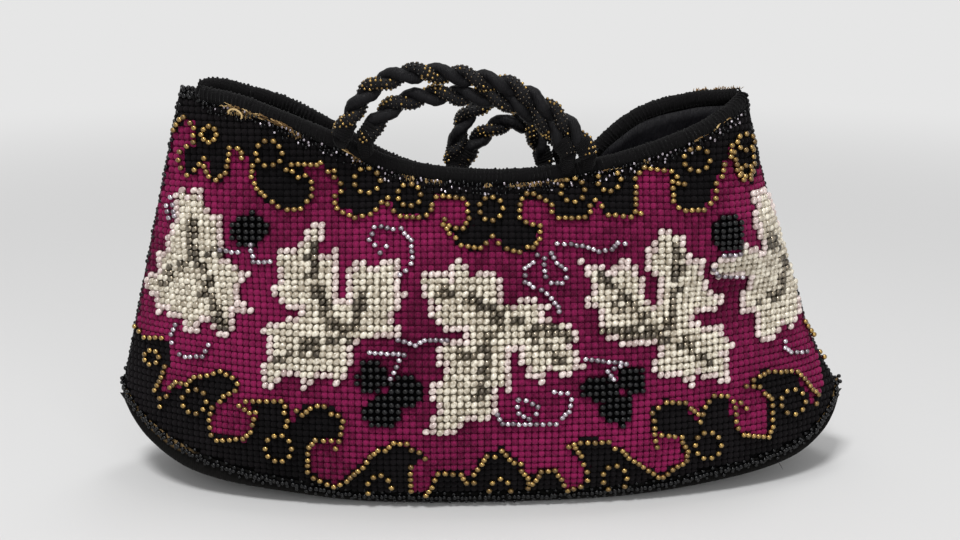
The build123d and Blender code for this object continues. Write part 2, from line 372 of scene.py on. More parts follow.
def line_distance(spot: Spot, line: list[Spot]) -> float:
    """Distance of a spot from a row of straight runs.

    Args:
        spot: The spot.
        line: Points of the runs.

    Returns:
        The distance.
    """
    best = math.inf
    for (x0, z0), (x1, z1) in zip(line, line[1:]):
        dx, dz = x1 - x0, z1 - z0
        length = dx * dx + dz * dz
        reach = (spot[0] - x0) * dx + (spot[1] - z0) * dz
        t = 0.0 if length == 0 else min(max(reach / length, 0.0), 1.0)
        best = min(best, math.hypot(spot[0] - x0 - dx * t, spot[1] - z0 - dz * t))
    return best


@dataclass(frozen=True)
class Pattern:
    """The needlework pattern of one panel, read off the photograph in its pixels.

    Leaves, borders and the lines of beads are rows of points. A ring is a middle, a radius and a number of
    beads, and a grape cluster is a middle, half a width and half a height.
    """

    leaves: tuple[tuple[PhotoPoint, ...], ...] = (
        ((181, 186), (188, 192), (204, 190), (208, 210), (214, 215), (218, 209), (222, 214), (223, 260),
         (231, 260), (237, 268), (250, 272), (249, 282), (241, 286), (242, 300), (257, 308), (252, 313),
         (236, 312), (236, 322), (232, 342), (220, 334), (212, 322), (203, 320), (199, 337), (184, 329),
         (184, 321), (169, 319), (168, 311), (160, 318), (156, 306), (158, 297), (147, 285), (149, 274),
         (160, 270), (160, 252), (171, 247), (170, 238), (178, 218), (177, 196)),
        ((317, 218), (322, 226), (321, 256), (333, 257), (336, 249), (341, 253), (338, 299), (345, 300),
         (346, 272), (352, 268), (351, 255), (360, 262), (377, 268), (378, 262), (396, 258), (404, 262),
         (397, 280), (398, 292), (407, 294), (400, 309), (392, 322), (400, 330), (398, 340), (352, 344),
         (350, 378), (338, 388), (332, 380), (321, 378), (304, 393), (298, 379), (290, 374), (268, 389),
         (261, 384), (262, 362), (270, 354), (270, 341), (263, 331), (273, 322), (296, 318), (302, 312),
         (285, 307), (272, 291), (275, 283), (283, 280), (275, 268), (275, 250), (277, 242), (285, 250),
         (295, 249), (296, 242), (303, 238), (304, 231), (309, 226)),
        ((452, 260), (463, 261), (472, 276), (477, 270), (493, 270), (503, 280), (505, 305), (518, 303),
         (523, 300), (546, 302), (549, 309), (544, 312), (546, 321), (568, 322), (571, 331), (580, 335),
         (573, 345), (579, 357), (580, 365), (592, 368), (580, 374), (560, 377), (548, 373), (543, 384),
         (534, 383), (524, 372), (518, 358), (517, 350), (512, 350), (510, 397), (500, 390), (496, 393),
         (496, 416), (484, 424), (475, 424), (470, 417), (463, 430), (440, 438), (422, 437), (422, 432),
         (431, 429), (431, 414), (440, 411), (432, 398), (432, 382), (440, 380), (439, 373), (449, 368),
         (437, 366), (433, 355), (440, 345), (455, 340), (467, 340), (466, 335), (440, 331), (424, 312),
         (434, 308), (418, 290), (419, 277), (430, 272), (443, 273), (450, 279)),
        ((672, 225), (675, 232), (683, 233), (690, 257), (703, 257), (706, 282), (711, 290), (723, 296),
         (713, 313), (700, 314), (690, 322), (708, 326), (720, 328), (733, 344), (731, 352), (722, 355),
         (731, 361), (726, 370), (728, 382), (715, 381), (697, 376), (689, 388), (680, 378), (672, 374),
         (665, 382), (651, 367), (657, 350), (652, 346), (632, 344), (629, 351), (618, 342), (600, 338),
         (600, 312), (579, 303), (592, 292), (585, 272), (578, 261), (595, 263), (612, 270), (621, 261),
         (628, 261), (641, 272), (645, 295), (650, 305), (655, 303), (656, 280), (644, 262), (644, 247),
         (655, 249), (655, 235), (663, 229)),
        ((762, 188), (772, 210), (780, 232), (790, 258), (797, 276), (799, 304), (792, 327), (781, 327),
         (772, 341), (762, 345), (755, 337), (752, 312), (741, 312), (738, 293), (749, 284), (745, 276),
         (712, 275), (709, 267), (722, 256), (738, 252), (742, 245), (753, 246), (761, 250), (757, 234),
         (750, 222), (753, 210), (751, 194)),
    )
    veins: tuple[tuple[PhotoPoint, ...], ...] = (
        ((312, 248), (311, 275), (322, 300), (334, 322), (345, 336)), ((358, 293), (361, 305), (352, 335)),
        ((303, 336), (325, 346), (345, 338)), ((283, 358), (300, 352), (325, 348)),
        ((440, 290), (465, 303), (497, 312), (508, 315)), ((470, 296), (480, 304)),
        ((508, 312), (528, 332), (545, 345), (560, 358)), ((528, 332), (548, 331), (572, 336)),
        ((499, 318), (492, 335), (485, 352), (484, 372), (480, 398)), ((463, 357), (484, 354)),
        ((600, 277), (625, 296), (636, 314), (655, 334)), ((618, 310), (636, 314)),
        ((677, 245), (678, 265), (672, 292), (668, 325), (655, 335)), ((655, 336), (688, 347), (708, 363)),
        ((604, 334), (630, 335), (655, 336)),
        ((190, 220), (194, 240), (207, 275), (208, 292), (226, 328)), ((172, 270), (200, 256)),
        ((165, 281), (177, 272)), ((203, 256), (222, 252)),
        ((765, 235), (782, 268), (775, 300)), ((752, 302), (775, 295)),
    )
    upper_border: tuple[PhotoPoint, ...] = (
        (178, 130), (187, 117), (197, 128), (196, 142), (184, 152), (184, 170), (195, 176), (206, 158),
        (213, 182), (229, 178), (232, 150), (238, 148), (252, 165), (256, 193), (276, 208), (305, 210),
        (313, 185), (296, 168), (322, 163), (342, 188), (335, 208), (371, 218), (387, 197), (397, 216),
        (430, 218), (437, 197), (464, 199), (472, 228), (446, 226), (462, 249), (482, 250), (494, 236),
        (508, 252), (536, 249), (541, 227), (521, 220), (523, 198), (548, 200), (560, 219), (587, 219),
        (596, 200), (608, 216), (634, 218), (636, 178), (645, 167), (671, 171), (672, 203), (681, 211),
        (703, 212), (714, 186), (722, 165), (730, 143), (737, 178), (752, 182), (758, 165),
    )
    lower_border: tuple[PhotoPoint, ...] = (
        (139, 326), (148, 340), (170, 344), (168, 372), (158, 392), (170, 394), (185, 382), (222, 370),
        (240, 380), (238, 392), (213, 408), (212, 436), (246, 441), (258, 412), (243, 404), (285, 399),
        (290, 426), (298, 410), (322, 403), (344, 418), (340, 440), (309, 442), (308, 470), (334, 484),
        (350, 476), (376, 450), (398, 440), (426, 456), (410, 465), (411, 494), (426, 495), (437, 470),
        (462, 470), (470, 482), (482, 458), (500, 449), (520, 463), (530, 482), (542, 469), (556, 469),
        (566, 488), (580, 487), (586, 470), (570, 446), (582, 440), (607, 440), (658, 475), (684, 462),
        (682, 436), (652, 434), (652, 409), (662, 401), (683, 402), (697, 420), (710, 396), (726, 396),
        (735, 430), (766, 437), (769, 398), (756, 386), (745, 387), (765, 371), (794, 371), (813, 404),
        (824, 384), (818, 358),
    )
    gold: tuple[tuple[PhotoPoint, ...], ...] = (
        ((177, 130), (183, 120), (187, 117), (193, 123), (196, 128), (196, 141), (190, 146), (183, 152)),
        ((183, 152), (182, 160), (184, 168), (190, 175), (197, 170), (206, 158), (206, 166), (211, 177),
         (218, 181), (227, 173), (230, 160), (231, 147), (239, 147)),
        ((243, 152), (243, 158)),
        ((254, 165), (253, 178), (258, 190), (266, 197), (273, 203), (279, 208), (288, 211), (301, 210),
         (307, 203), (312, 197), (312, 183), (306, 176), (299, 178), (293, 172), (287, 170)),
        ((292, 164), (305, 164), (317, 165), (321, 162)),
        ((328, 172), (335, 171), (335, 178), (341, 184), (341, 193), (335, 197), (335, 204), (337, 210),
         (343, 214), (355, 219), (370, 216), (376, 211), (381, 204), (387, 199), (387, 205), (393, 212),
         (400, 218), (419, 219), (427, 217), (431, 211), (432, 206), (436, 198), (449, 198), (463, 200),
         (467, 206), (469, 220), (463, 230), (456, 230), (449, 227), (444, 221)),
        ((443, 226), (450, 235), (456, 240), (461, 248), (481, 250), (487, 245), (493, 238), (499, 245),
         (507, 251), (520, 254), (527, 248), (533, 249), (540, 240), (540, 227), (526, 224), (520, 219),
         (520, 206), (522, 200), (527, 195), (534, 195), (546, 202), (552, 206), (552, 213), (559, 219),
         (585, 219), (590, 213), (590, 207), (595, 202), (602, 208), (608, 216), (631, 218), (635, 213)),
        ((641, 215), (636, 207), (636, 188), (635, 180), (639, 174), (644, 168), (663, 171), (671, 172),
         (676, 178)),
        ((683, 186), (672, 183), (672, 190), (673, 203), (678, 209), (685, 212), (703, 211), (709, 205),
         (714, 200), (714, 185), (720, 178), (722, 165), (728, 157), (729, 145), (733, 160), (734, 171),
         (740, 182), (747, 180), (750, 165), (749, 150)),
        ((139, 326), (148, 337), (165, 338)),
        ((168, 367), (165, 377), (158, 390)), ((163, 398), (163, 406)),
        ((170, 396), (173, 388), (179, 382), (190, 384), (197, 377), (210, 375), (223, 371), (235, 377),
         (240, 383), (238, 390), (226, 396), (223, 401)),
        ((215, 407), (212, 419), (213, 434), (219, 439), (245, 438), (253, 431), (256, 418), (258, 411),
         (252, 412), (242, 405)),
        ((248, 400), (269, 400), (283, 400), (287, 405), (286, 412), (289, 420), (288, 425)),
        ((298, 410), (304, 414), (312, 408), (319, 405), (326, 406), (332, 414), (339, 415), (344, 420),
         (342, 433), (340, 440), (337, 447)),
        ((333, 440), (317, 439), (310, 446), (309, 470), (315, 476), (328, 482), (335, 484), (348, 479),
         (355, 472), (364, 465), (371, 455), (379, 449), (386, 449), (394, 442), (407, 443), (412, 449),
         (419, 451), (425, 457)),
        ((411, 465), (411, 493)),
        ((423, 495), (432, 485), (438, 472), (461, 473), (466, 481), (474, 481), (474, 473), (481, 463),
         (487, 455), (495, 456), (502, 450), (514, 462), (521, 463), (521, 470), (528, 477), (528, 486),
         (536, 479), (541, 471), (555, 469), (561, 478), (567, 488), (580, 484), (587, 478), (587, 470),
         (583, 463), (581, 455), (575, 447), (568, 446), (580, 442), (608, 441), (614, 447), (622, 449),
         (628, 456), (642, 465), (657, 475), (662, 475), (676, 465), (685, 459), (686, 450), (681, 441),
         (680, 436), (653, 433), (655, 446)),
        ((653, 427), (651, 413), (656, 407), (664, 402), (683, 402), (689, 408), (696, 414), (698, 421),
         (703, 407), (707, 402), (712, 396), (725, 396), (731, 402), (738, 403), (744, 409)),
        ((733, 408), (734, 421), (736, 428), (741, 434), (766, 436), (770, 426), (769, 399), (762, 394),
         (757, 387), (744, 387), (751, 381), (757, 377), (766, 372), (794, 372), (804, 383), (809, 390),
         (815, 395), (813, 404)),
        ((801, 322), (812, 340), (820, 358)), ((806, 320), (817, 340), (823, 356)),
    )
    rings: tuple[tuple[float, float, float, int], ...] = (
        (270, 153, 13, 10), (367, 181, 13, 9), (409, 196, 11.5, 9), (491, 210, 12, 9), (573, 191, 12, 9),
        (609, 181, 11.5, 9), (695, 160, 12.5, 9), (197, 401, 12, 9), (280, 447, 13, 10), (380, 485, 12, 9),
        (500, 489, 11, 8), (614, 476, 12, 9), (706, 444, 13, 10), (790, 402, 12, 9), (211, 134, 7.5, 8),
        (742, 142, 8, 8), (155, 357, 7, 7), (743, 172, 6, 7),
    )
    silver: tuple[tuple[PhotoPoint, ...], ...] = (
        ((372, 235), (369, 241), (375, 247), (380, 255), (386, 248)),
        ((374, 228), (381, 228), (393, 231), (401, 230), (404, 235), (411, 242), (412, 260), (411, 266),
         (405, 273), (400, 277)),
        ((557, 245), (571, 245), (588, 248), (599, 252), (612, 250), (618, 243), (625, 244)),
        ((537, 257), (533, 264), (525, 270), (525, 283), (533, 288), (541, 291), (547, 295), (551, 300),
         (558, 308), (559, 313)),
        ((544, 260), (545, 278)), ((551, 254), (557, 264), (565, 270), (566, 278), (562, 284), (551, 284)),
        ((497, 415), (502, 424), (530, 425), (556, 424), (562, 418), (569, 412), (571, 400), (567, 394),
         (554, 393)),
        ((518, 400), (517, 407), (518, 414), (529, 419), (536, 414), (538, 407), (526, 401), (518, 400)),
        ((399, 342), (416, 347), (425, 342), (447, 342)), ((370, 354), (405, 356), (400, 362), (391, 379)),
        ((252, 245), (255, 262), (271, 262)), ((222, 250), (240, 252)),
        ((585, 360), (625, 364), (607, 372), (613, 380)),
        ((178, 325), (174, 335), (175, 343)), ((183, 355), (188, 357), (205, 357), (211, 345)),
        ((782, 342), (782, 348), (788, 353), (803, 352)),
        ((174, 198), (176, 205)), ((170, 206), (172, 218)), ((177, 212), (178, 216)),
        ((712, 268), (717, 274), (740, 275)), ((722, 254), (738, 253)),
        ((771, 202), (773, 210)), ((777, 218), (778, 224)), ((784, 240), (786, 246)),
    )
    grapes: tuple[tuple[float, float, float, float], ...] = (
        (250, 230, 17, 17), (727, 234, 17, 17), (372, 378, 15, 16), (407, 393, 17, 16), (384, 412, 19, 17),
        (600, 390, 19, 12), (631, 380, 15, 14), (617, 410, 16, 16),
    )


@dataclass
class Canvas:
    """The counted canvas of one panel: its cells, and what is sewn in each of them.

    Args:
        form: The bag's shape.
        view: The photograph's camera.
        pattern: The needlework pattern.
        pitch: Distance between stitches along the cloth.
    """

    form: BagForm
    view: PhotoView
    pattern: Pattern
    pitch: float = 2.46
    seam_clear: float = 1.6
    rim_clear: float = 5.6
    foot_clear: float = 1.7
    silver_gap: float = 0.88
    rosy_edge: float = 1.9
    vein_width: float = 0.7
    vein_edge: float = 2.7
    spread: float = 170.0
    beyond: float = 200.0
    lowest: float = 2.0
    highest: float = 160.0
    stride: float = 0.4
    seam_gap: float = 1.0
    corner_cut: float = 0.45

    def __post_init__(self) -> None:
        """Brings the pattern onto the cloth."""
        trace = self.view.trace
        self.leaves = [trace(outline, self.form) for outline in self.pattern.leaves]
        self.veins = [trace(line, self.form) for line in self.pattern.veins]
        upper = trace(self.pattern.upper_border, self.form)
        lower = trace(self.pattern.lower_border, self.form)
        self.upper = self.closed(upper, self.beyond)
        self.lower = self.closed(lower, -self.beyond)
        self.gold = [spot for line in self.pattern.gold for spot in self.beads_on(line)]
        self.gold += [spot for ring in self.pattern.rings for spot in self.ring(*ring)]
        self.silver = [spot for line in self.pattern.silver for spot in self.beads_on(line, self.silver_gap)]
        self.grapes = [self.block(*grape) for grape in self.pattern.grapes]

    def closed(self, edge: list[Spot], far: float) -> list[Spot]:
        """Outline of a border: its scrolled edge, led out past both seams and closed at the height far."""
        return ([(-self.spread, edge[0][1])] + edge
                + [(self.spread, edge[-1][1]), (self.spread, far), (-self.spread, far)])

    def beads_on(self, line: tuple[PhotoPoint, ...], spacing: float = 1.0) -> list[Spot]:
        """Spots one bead apart along a traced line; spacing is a share of the canvas pitch.

        Args:
            line: Pixels of the line.
            spacing: Spacing as a share of the pitch.

        Returns:
            The spots.
        """
        traced = self.view.trace(line, self.form)
        spots = traced[:1]
        for here, after in zip(traced, traced[1:]):
            gap = math.dist(here, after)
            count = max(1, round(gap / self.pitch / spacing))
            dx, dz = after[0] - here[0], after[1] - here[1]
            spots += [(here[0] + dx * i / count, here[1] + dz * i / count) for i in range(1, count + 1)]
        return spots

    def ring(self, px: float, py: float, radius: float, count: int) -> list[Spot]:
        """Spots of a small ring of beads around a pixel."""
        angles = (2 * math.pi * i / count for i in range(count))
        around = tuple((px + radius * math.cos(a), py + radius * math.sin(a)) for a in angles)
        return self.view.trace(around, self.form)

    def block(self, px: float, py: float, wide: float, high: float) -> list[Spot]:
        """Outline of a grape cluster: a square with cut corners around a pixel."""
        cut = self.corner_cut
        corners = ((-1, -cut), (-cut, -1), (cut, -1), (1, -cut), (1, cut), (cut, 1), (-cut, 1), (-1, cut))
        return self.view.trace(tuple((px + a * wide, py + b * high) for a, b in corners), self.form)

    def rows(self) -> list[float]:
        """Heights of the canvas rows, one stitch apart along the middle of the cloth.

        Returns:
            The heights.
        """
        heights = []
        z = self.lowest
        while z < self.highest:
            heights.append(z)
            slope = (self.form.belly.at(z + 1) - self.form.belly.at(z - 1)) / 2
            z += self.pitch / math.hypot(1.0, slope)
        return heights

    def columns(self, z: float, side: Side) -> list[float]:
        """Places of the stitches in one row, one stitch apart along the cloth.

        Args:
            z: Height.
            side: The face.

        Returns:
            The places, from left to right.
        """
        places = []
        for way in (-1, 1):
            limit = self.form.seam_x(z, way) - way * self.seam_clear
            x, run, next_at = 0.0, 0.0, self.pitch / 2
            while way * x < way * limit:
                after = x + way * self.stride
                run += math.hypot(self.stride, self.form.depth(after, z, side) - self.form.depth(x, z, side))
                x = after
                if run >= next_at:
                    places.append(x - way * (run - next_at))
                    next_at += self.pitch
        return sorted(places)

    def on_panel(self, x: float, z: float, side: Side) -> bool:
        """Whether a spot is canvas that shows, between the seams and the binding."""
        left, right = self.form.seam_x(z, -1) + self.seam_gap, self.form.seam_x(z, 1) - self.seam_gap
        low, high = self.form.foot_z(x) + self.foot_clear, self.form.rim_z(x, side) - self.rim_clear
        return left < x < right and low < z < high

    def near_edge(self, spot: Spot) -> bool:
        """Whether a spot of a leaf lies by its outline, where its beads get a rosy tint that is painted
        reflection of the magenta wool.
        """
        return min(line_distance(spot, leaf + leaf[:1]) for leaf in self.leaves) < self.rosy_edge

    def kind(self, spot: Spot) -> Kind:
        """What fills the canvas at a spot.

        Args:
            spot: The spot.

        Returns:
            The filling.
        """
        if any(inside(spot, leaf) for leaf in self.leaves):
            return Kind.LEAF
        if any(inside(spot, grape) for grape in self.grapes):
            return Kind.GRAPE
        if inside(spot, self.upper) or inside(spot, self.lower):
            return Kind.BLACK
        return Kind.MAGENTA

    def cells(self, side: Side) -> list[tuple[float, float, Kind]]:
        """Every cell of one panel.

        Args:
            side: The face.

        Returns:
            The place, the height and the filling of each cell.
        """
        return [(x, z, self.kind((x, z))) for z in self.rows() for x in self.columns(z, side)
                if self.on_panel(x, z, side)]

    def vein(self, spot: Spot) -> float:
        """How dark the leaf's beads are at a spot: 1 on a vein, falling to 0 beside it."""
        near = min(line_distance(spot, line) for line in self.veins)
        return min(max((self.vein_edge - near) / (self.vein_edge - self.vein_width), 0.0), 1.0)


@dataclass
class Place:
    """Where one repeated piece goes.

    Args:
        at: Its middle, in millimetres.
        axes: Its own X, Y and Z directions.
        size: Its scale along them.
        shade: A number from 0 to 1 that its finish reads.
    """

    at: Vector
    axes: tuple[Vector, Vector, Vector]
    size: tuple[float, float, float] = (1.0, 1.0, 1.0)
    shade: float = 0.5


@dataclass(frozen=True)
class Template:
    """A small shape that is repeated many times, one millimetre in size."""

    verts: np.ndarray
    faces: tuple[tuple[int, ...], ...]
    smooth: bool = True

    @classmethod
    def of(cls, bm: bmesh.types.BMesh, smooth: bool = True) -> "Template":
        """Takes the shape from a bmesh and frees it.

        Args:
            bm: The shape.
            smooth: Whether its faces look smooth.

        Returns:
            The template.
        """
        bm.verts.index_update()
        verts = np.array([tuple(v.co) for v in bm.verts])
        faces = tuple(tuple(v.index for v in f.verts) for f in bm.faces)
        bm.free()
        return cls(verts, faces, smooth)

    @classmethod
    def bead(cls, around: int = 8, high: int = 5, smooth: bool = True) -> "Template":
        """A round bead, 1 across."""
        bm = bmesh.new()
        bmesh.ops.create_uvsphere(bm, u_segments=around, v_segments=high, radius=0.5)
        return cls.of(bm, smooth)

    @classmethod
    def stitch(cls) -> "Template":
        """One wool stitch, 1 across: a low pillow with its ridge on the diagonal, open underneath.

        Returns:
            The template.
        """
        bm = bmesh.new()
        bmesh.ops.create_uvsphere(bm, u_segments=8, v_segments=4, radius=0.5)
        low = [v for v in bm.verts if v.co.z < -0.1]
        bmesh.ops.delete(bm, geom=low, context="VERTS")
        for v in bm.verts:
            v.co.x = math.copysign(abs(2 * v.co.x)**0.75 / 2, v.co.x)
            v.co.y = math.copysign(abs(2 * v.co.y)**0.75 / 2, v.co.y)
            v.co.z += 0.35 * (v.co.x * v.co.y) * (v.co.z > 0.1)
        return cls.of(bm)

    def scatter(self, name: str, places: list[Place]) -> bpy.types.Object:
        """Joins a copy of the shape at each place into one piece.

        Args:
            name: The piece's name.
            places: Where the copies go.

        Returns:
            The piece, with its shade as an attribute of its points.
        """
        at = np.array([tuple(p.at) for p in places])
        axes = np.array([[tuple(a * s) for a, s in zip(p.axes, p.size)] for p in places])
        verts = (at[:, None, :] + np.einsum("nj,mji->mni", self.verts, axes)).reshape(-1, 3) * MM
        count = len(self.verts)
        sizes = np.array([len(f) for f in self.faces])
        flat = np.concatenate([np.array(f) for f in self.faces])
        loops = (flat[None, :] + count * np.arange(len(places))[:, None]).ravel()
        starts = np.concatenate(([0], np.cumsum(np.tile(sizes, len(places)))[:-1]))
        mesh = bpy.data.meshes.new(name)
        mesh.vertices.add(len(verts))
        mesh.vertices.foreach_set("co", verts.ravel())
        mesh.loops.add(len(loops))
        mesh.loops.foreach_set("vertex_index", loops)
        mesh.polygons.add(len(starts))
        mesh.polygons.foreach_set("loop_start", starts)
        mesh.update(calc_edges=True)
        mesh.polygons.foreach_set("use_smooth", np.full(len(starts), self.smooth))
        shade = mesh.attributes.new("shade", "FLOAT", "POINT")
        shade.data.foreach_set("value", np.repeat([p.shade for p in places], count))
        mesh.validate()
        return link(name, mesh)


def link(name: str, mesh: bpy.types.Mesh) -> bpy.types.Object:
    """Puts a mesh into the scene as a piece."""
    piece = bpy.data.objects.new(name, mesh)
    bpy.context.scene.collection.objects.link(piece)
    return piece


def settle(name: str, bm: bmesh.types.BMesh, smooth: bool = True) -> bpy.types.Object:
    """Turns a bmesh into a piece and frees it.

    Args:
        name: The piece's name.
        bm: The shape, in metres.
        smooth: Whether every face is made smooth; otherwise each stays as it is.

    Returns:
        The piece.
    """
    if smooth:
        for face in bm.faces:
            face.smooth = True
    mesh = bpy.data.meshes.new(name)
    bm.to_mesh(mesh)
    bm.free()
    return link(name, mesh)


def sheet(name: str, columns: int, rows: int, lay: Callable[[float, float], tuple[Vector, float]],
          flip: bool, thick: float) -> bpy.types.Object:
    """A sheet of cloth laid over a grid.

    Args:
        name: The piece's name.
        columns: Columns along the bag, closer together towards its ends.
        rows: Rows across them.
        lay: Gives the place and the shade at a share of the width and of the way across, each from -1 to 1.
        flip: Whether its face is turned over.
        thick: Thickness of the cloth behind its face, in millimetres.

    Returns:
        The piece.
    """
    bm = bmesh.new()
    bmesh.ops.create_grid(bm, x_segments=columns, y_segments=rows, size=1.0)
    layer = bm.verts.layers.float.new("shade")
    for v in bm.verts:
        place, shade = lay(math.sin(v.co.x * math.pi / 2), v.co.y)
        v.co = place * MM
        v[layer] = shade
    if flip:
        bmesh.ops.reverse_faces(bm, faces=bm.faces[:])
    piece = settle(name, bm)
    cloth = piece.modifiers.new("cloth", "SOLIDIFY")
    cloth.thickness = thick * MM
    cloth.offset = -1.0
    return piece


def tube(name: str, points: list[Vector], radii: list[float], sides: int,
         shade: float = 0.0) -> bpy.types.Object:
    """A round strand along a row of points.

    Args:
        name: The piece's name.
        points: The strand's middle line, in millimetres.
        radii: Its radius at each point, in millimetres.
        sides: Number of sides of its section.
        shade: A number from 0 to 1 that its finish reads.

    Returns:
        The piece.
    """
    bm = bmesh.new()
    layer = bm.verts.layers.float.new("shade")
    ring = None
    side_way = None
    for i, at in enumerate(points):
        ahead = (points[min(i + 1, len(points) - 1)] - points[max(i - 1, 0)]).normalized()
        if side_way is None:
            side_way = ahead.orthogonal().normalized()
        side_way = (side_way - ahead * side_way.dot(ahead)).normalized()
        made = bmesh.ops.create_circle(bm, cap_ends=False, segments=sides, radius=radii[i] * MM)["verts"]
        turn = Matrix((side_way, ahead.cross(side_way), ahead)).transposed().to_4x4()
        bmesh.ops.transform(bm, matrix=Matrix.Translation(at * MM) @ turn, verts=made)
        for v in made:
            v[layer] = shade
        if ring is None:
            bm.faces.new(list(reversed(made)))
        else:
            for j in range(sides):
                k = (j + 1) % sides
                bm.faces.new((ring[j], ring[k], made[k], made[j]))
        ring = made
    bm.faces.new(ring)
    return settle(name, bm)


def helix(path: list[Vector], radius: float, pitch: float, start: float, per_turn: int,
          out_hint: Vector | None = None) -> list[tuple[Vector, Vector]]:
    """A line wound round a path.

    Args:
        path: The path's points, in millimetres, close together.
        radius: Distance of the line from the path.
        pitch: Length of the path for one turn.
        start: Angle at the path's start.
        per_turn: Points for each turn.
        out_hint: A direction across the path from which the angle is counted.

    Returns:
        Each point of the line with its direction away from the path.
    """
    reach = [0.0]
    for a, b in zip(path, path[1:]):
        reach.append(reach[-1] + (b - a).length)
    total = reach[-1]
    count = max(2, int(total / pitch * per_turn))
    found = []
    i = 0
    for n in range(count + 1):
        at = total * n / count
        while i < len(path) - 2 and reach[i + 1] < at:
            i += 1
        t = (at - reach[i]) / max(reach[i + 1] - reach[i], 1e-9)
        middle = path[i].lerp(path[i + 1], t)
        ahead = (path[min(i + 2, len(path) - 1)] - path[max(i - 1, 0)]).normalized()
        hint = out_hint if out_hint is not None else Vector((0, -1, 0))
        across = (hint - ahead * hint.dot(ahead)).normalized()
        other = ahead.cross(across)
        angle = start + 2 * math.pi * at / pitch
        out = across * math.cos(angle) + other * math.sin(angle)
        found.append((middle + out * radius, out))
    return found


class Value:
    """A number that changes over a surface: one output socket, with arithmetic that adds Math nodes.

    Args:
        recipe: The material being made.
        socket: The output that carries the number.
    """

    def __init__(self, recipe: "Recipe", socket: bpy.types.NodeSocket) -> None:
        """Keeps the socket and its material."""
        self.recipe = recipe
        self.socket = socket

    def _math(self, operation: str, first: "Value | float", second: "Value | float") -> "Value":
        """One Math node on two numbers."""
        made = self.recipe.node("ShaderNodeMath", {"operation": operation}, {0: first, 1: second})
        return Value(self.recipe, made.outputs[0])

    def __add__(self, other: "Value | float") -> "Value":
        """Sum."""
        return self._math("ADD", self, other)

    def __radd__(self, other: float) -> "Value":
        """Sum, with the number first."""
        return self._math("ADD", other, self)

    def __sub__(self, other: "Value | float") -> "Value":
        """Difference."""
        return self._math("SUBTRACT", self, other)

    def __rsub__(self, other: float) -> "Value":
        """Difference, with the number first."""
        return self._math("SUBTRACT", other, self)

    def __mul__(self, other: "Value | float") -> "Value":
        """Product."""
        return self._math("MULTIPLY", self, other)

    def above(self, low: float, high: float) -> "Value":
        """A smooth step from 0 at low to 1 at high."""
        made = self.recipe.node("ShaderNodeMapRange", {"interpolation_type": "SMOOTHSTEP"},
                                {"Value": self, "From Min": low, "From Max": high})
        return Value(self.recipe, made.outputs[0])


def srgb(red: int, green: int, blue: int) -> Paint:
    """A colour written as it looks on a screen, from 0 to 255, as the shader's linear numbers.

    Args:
        red: Red.
        green: Green.
        blue: Blue.

    Returns:
        The three numbers.
    """
    def straight(level: float) -> float:
        return level / 12.92 if level <= 0.04045 else ((level + 0.055) / 1.055)**2.4

    return straight(red / 255), straight(green / 255), straight(blue / 255)


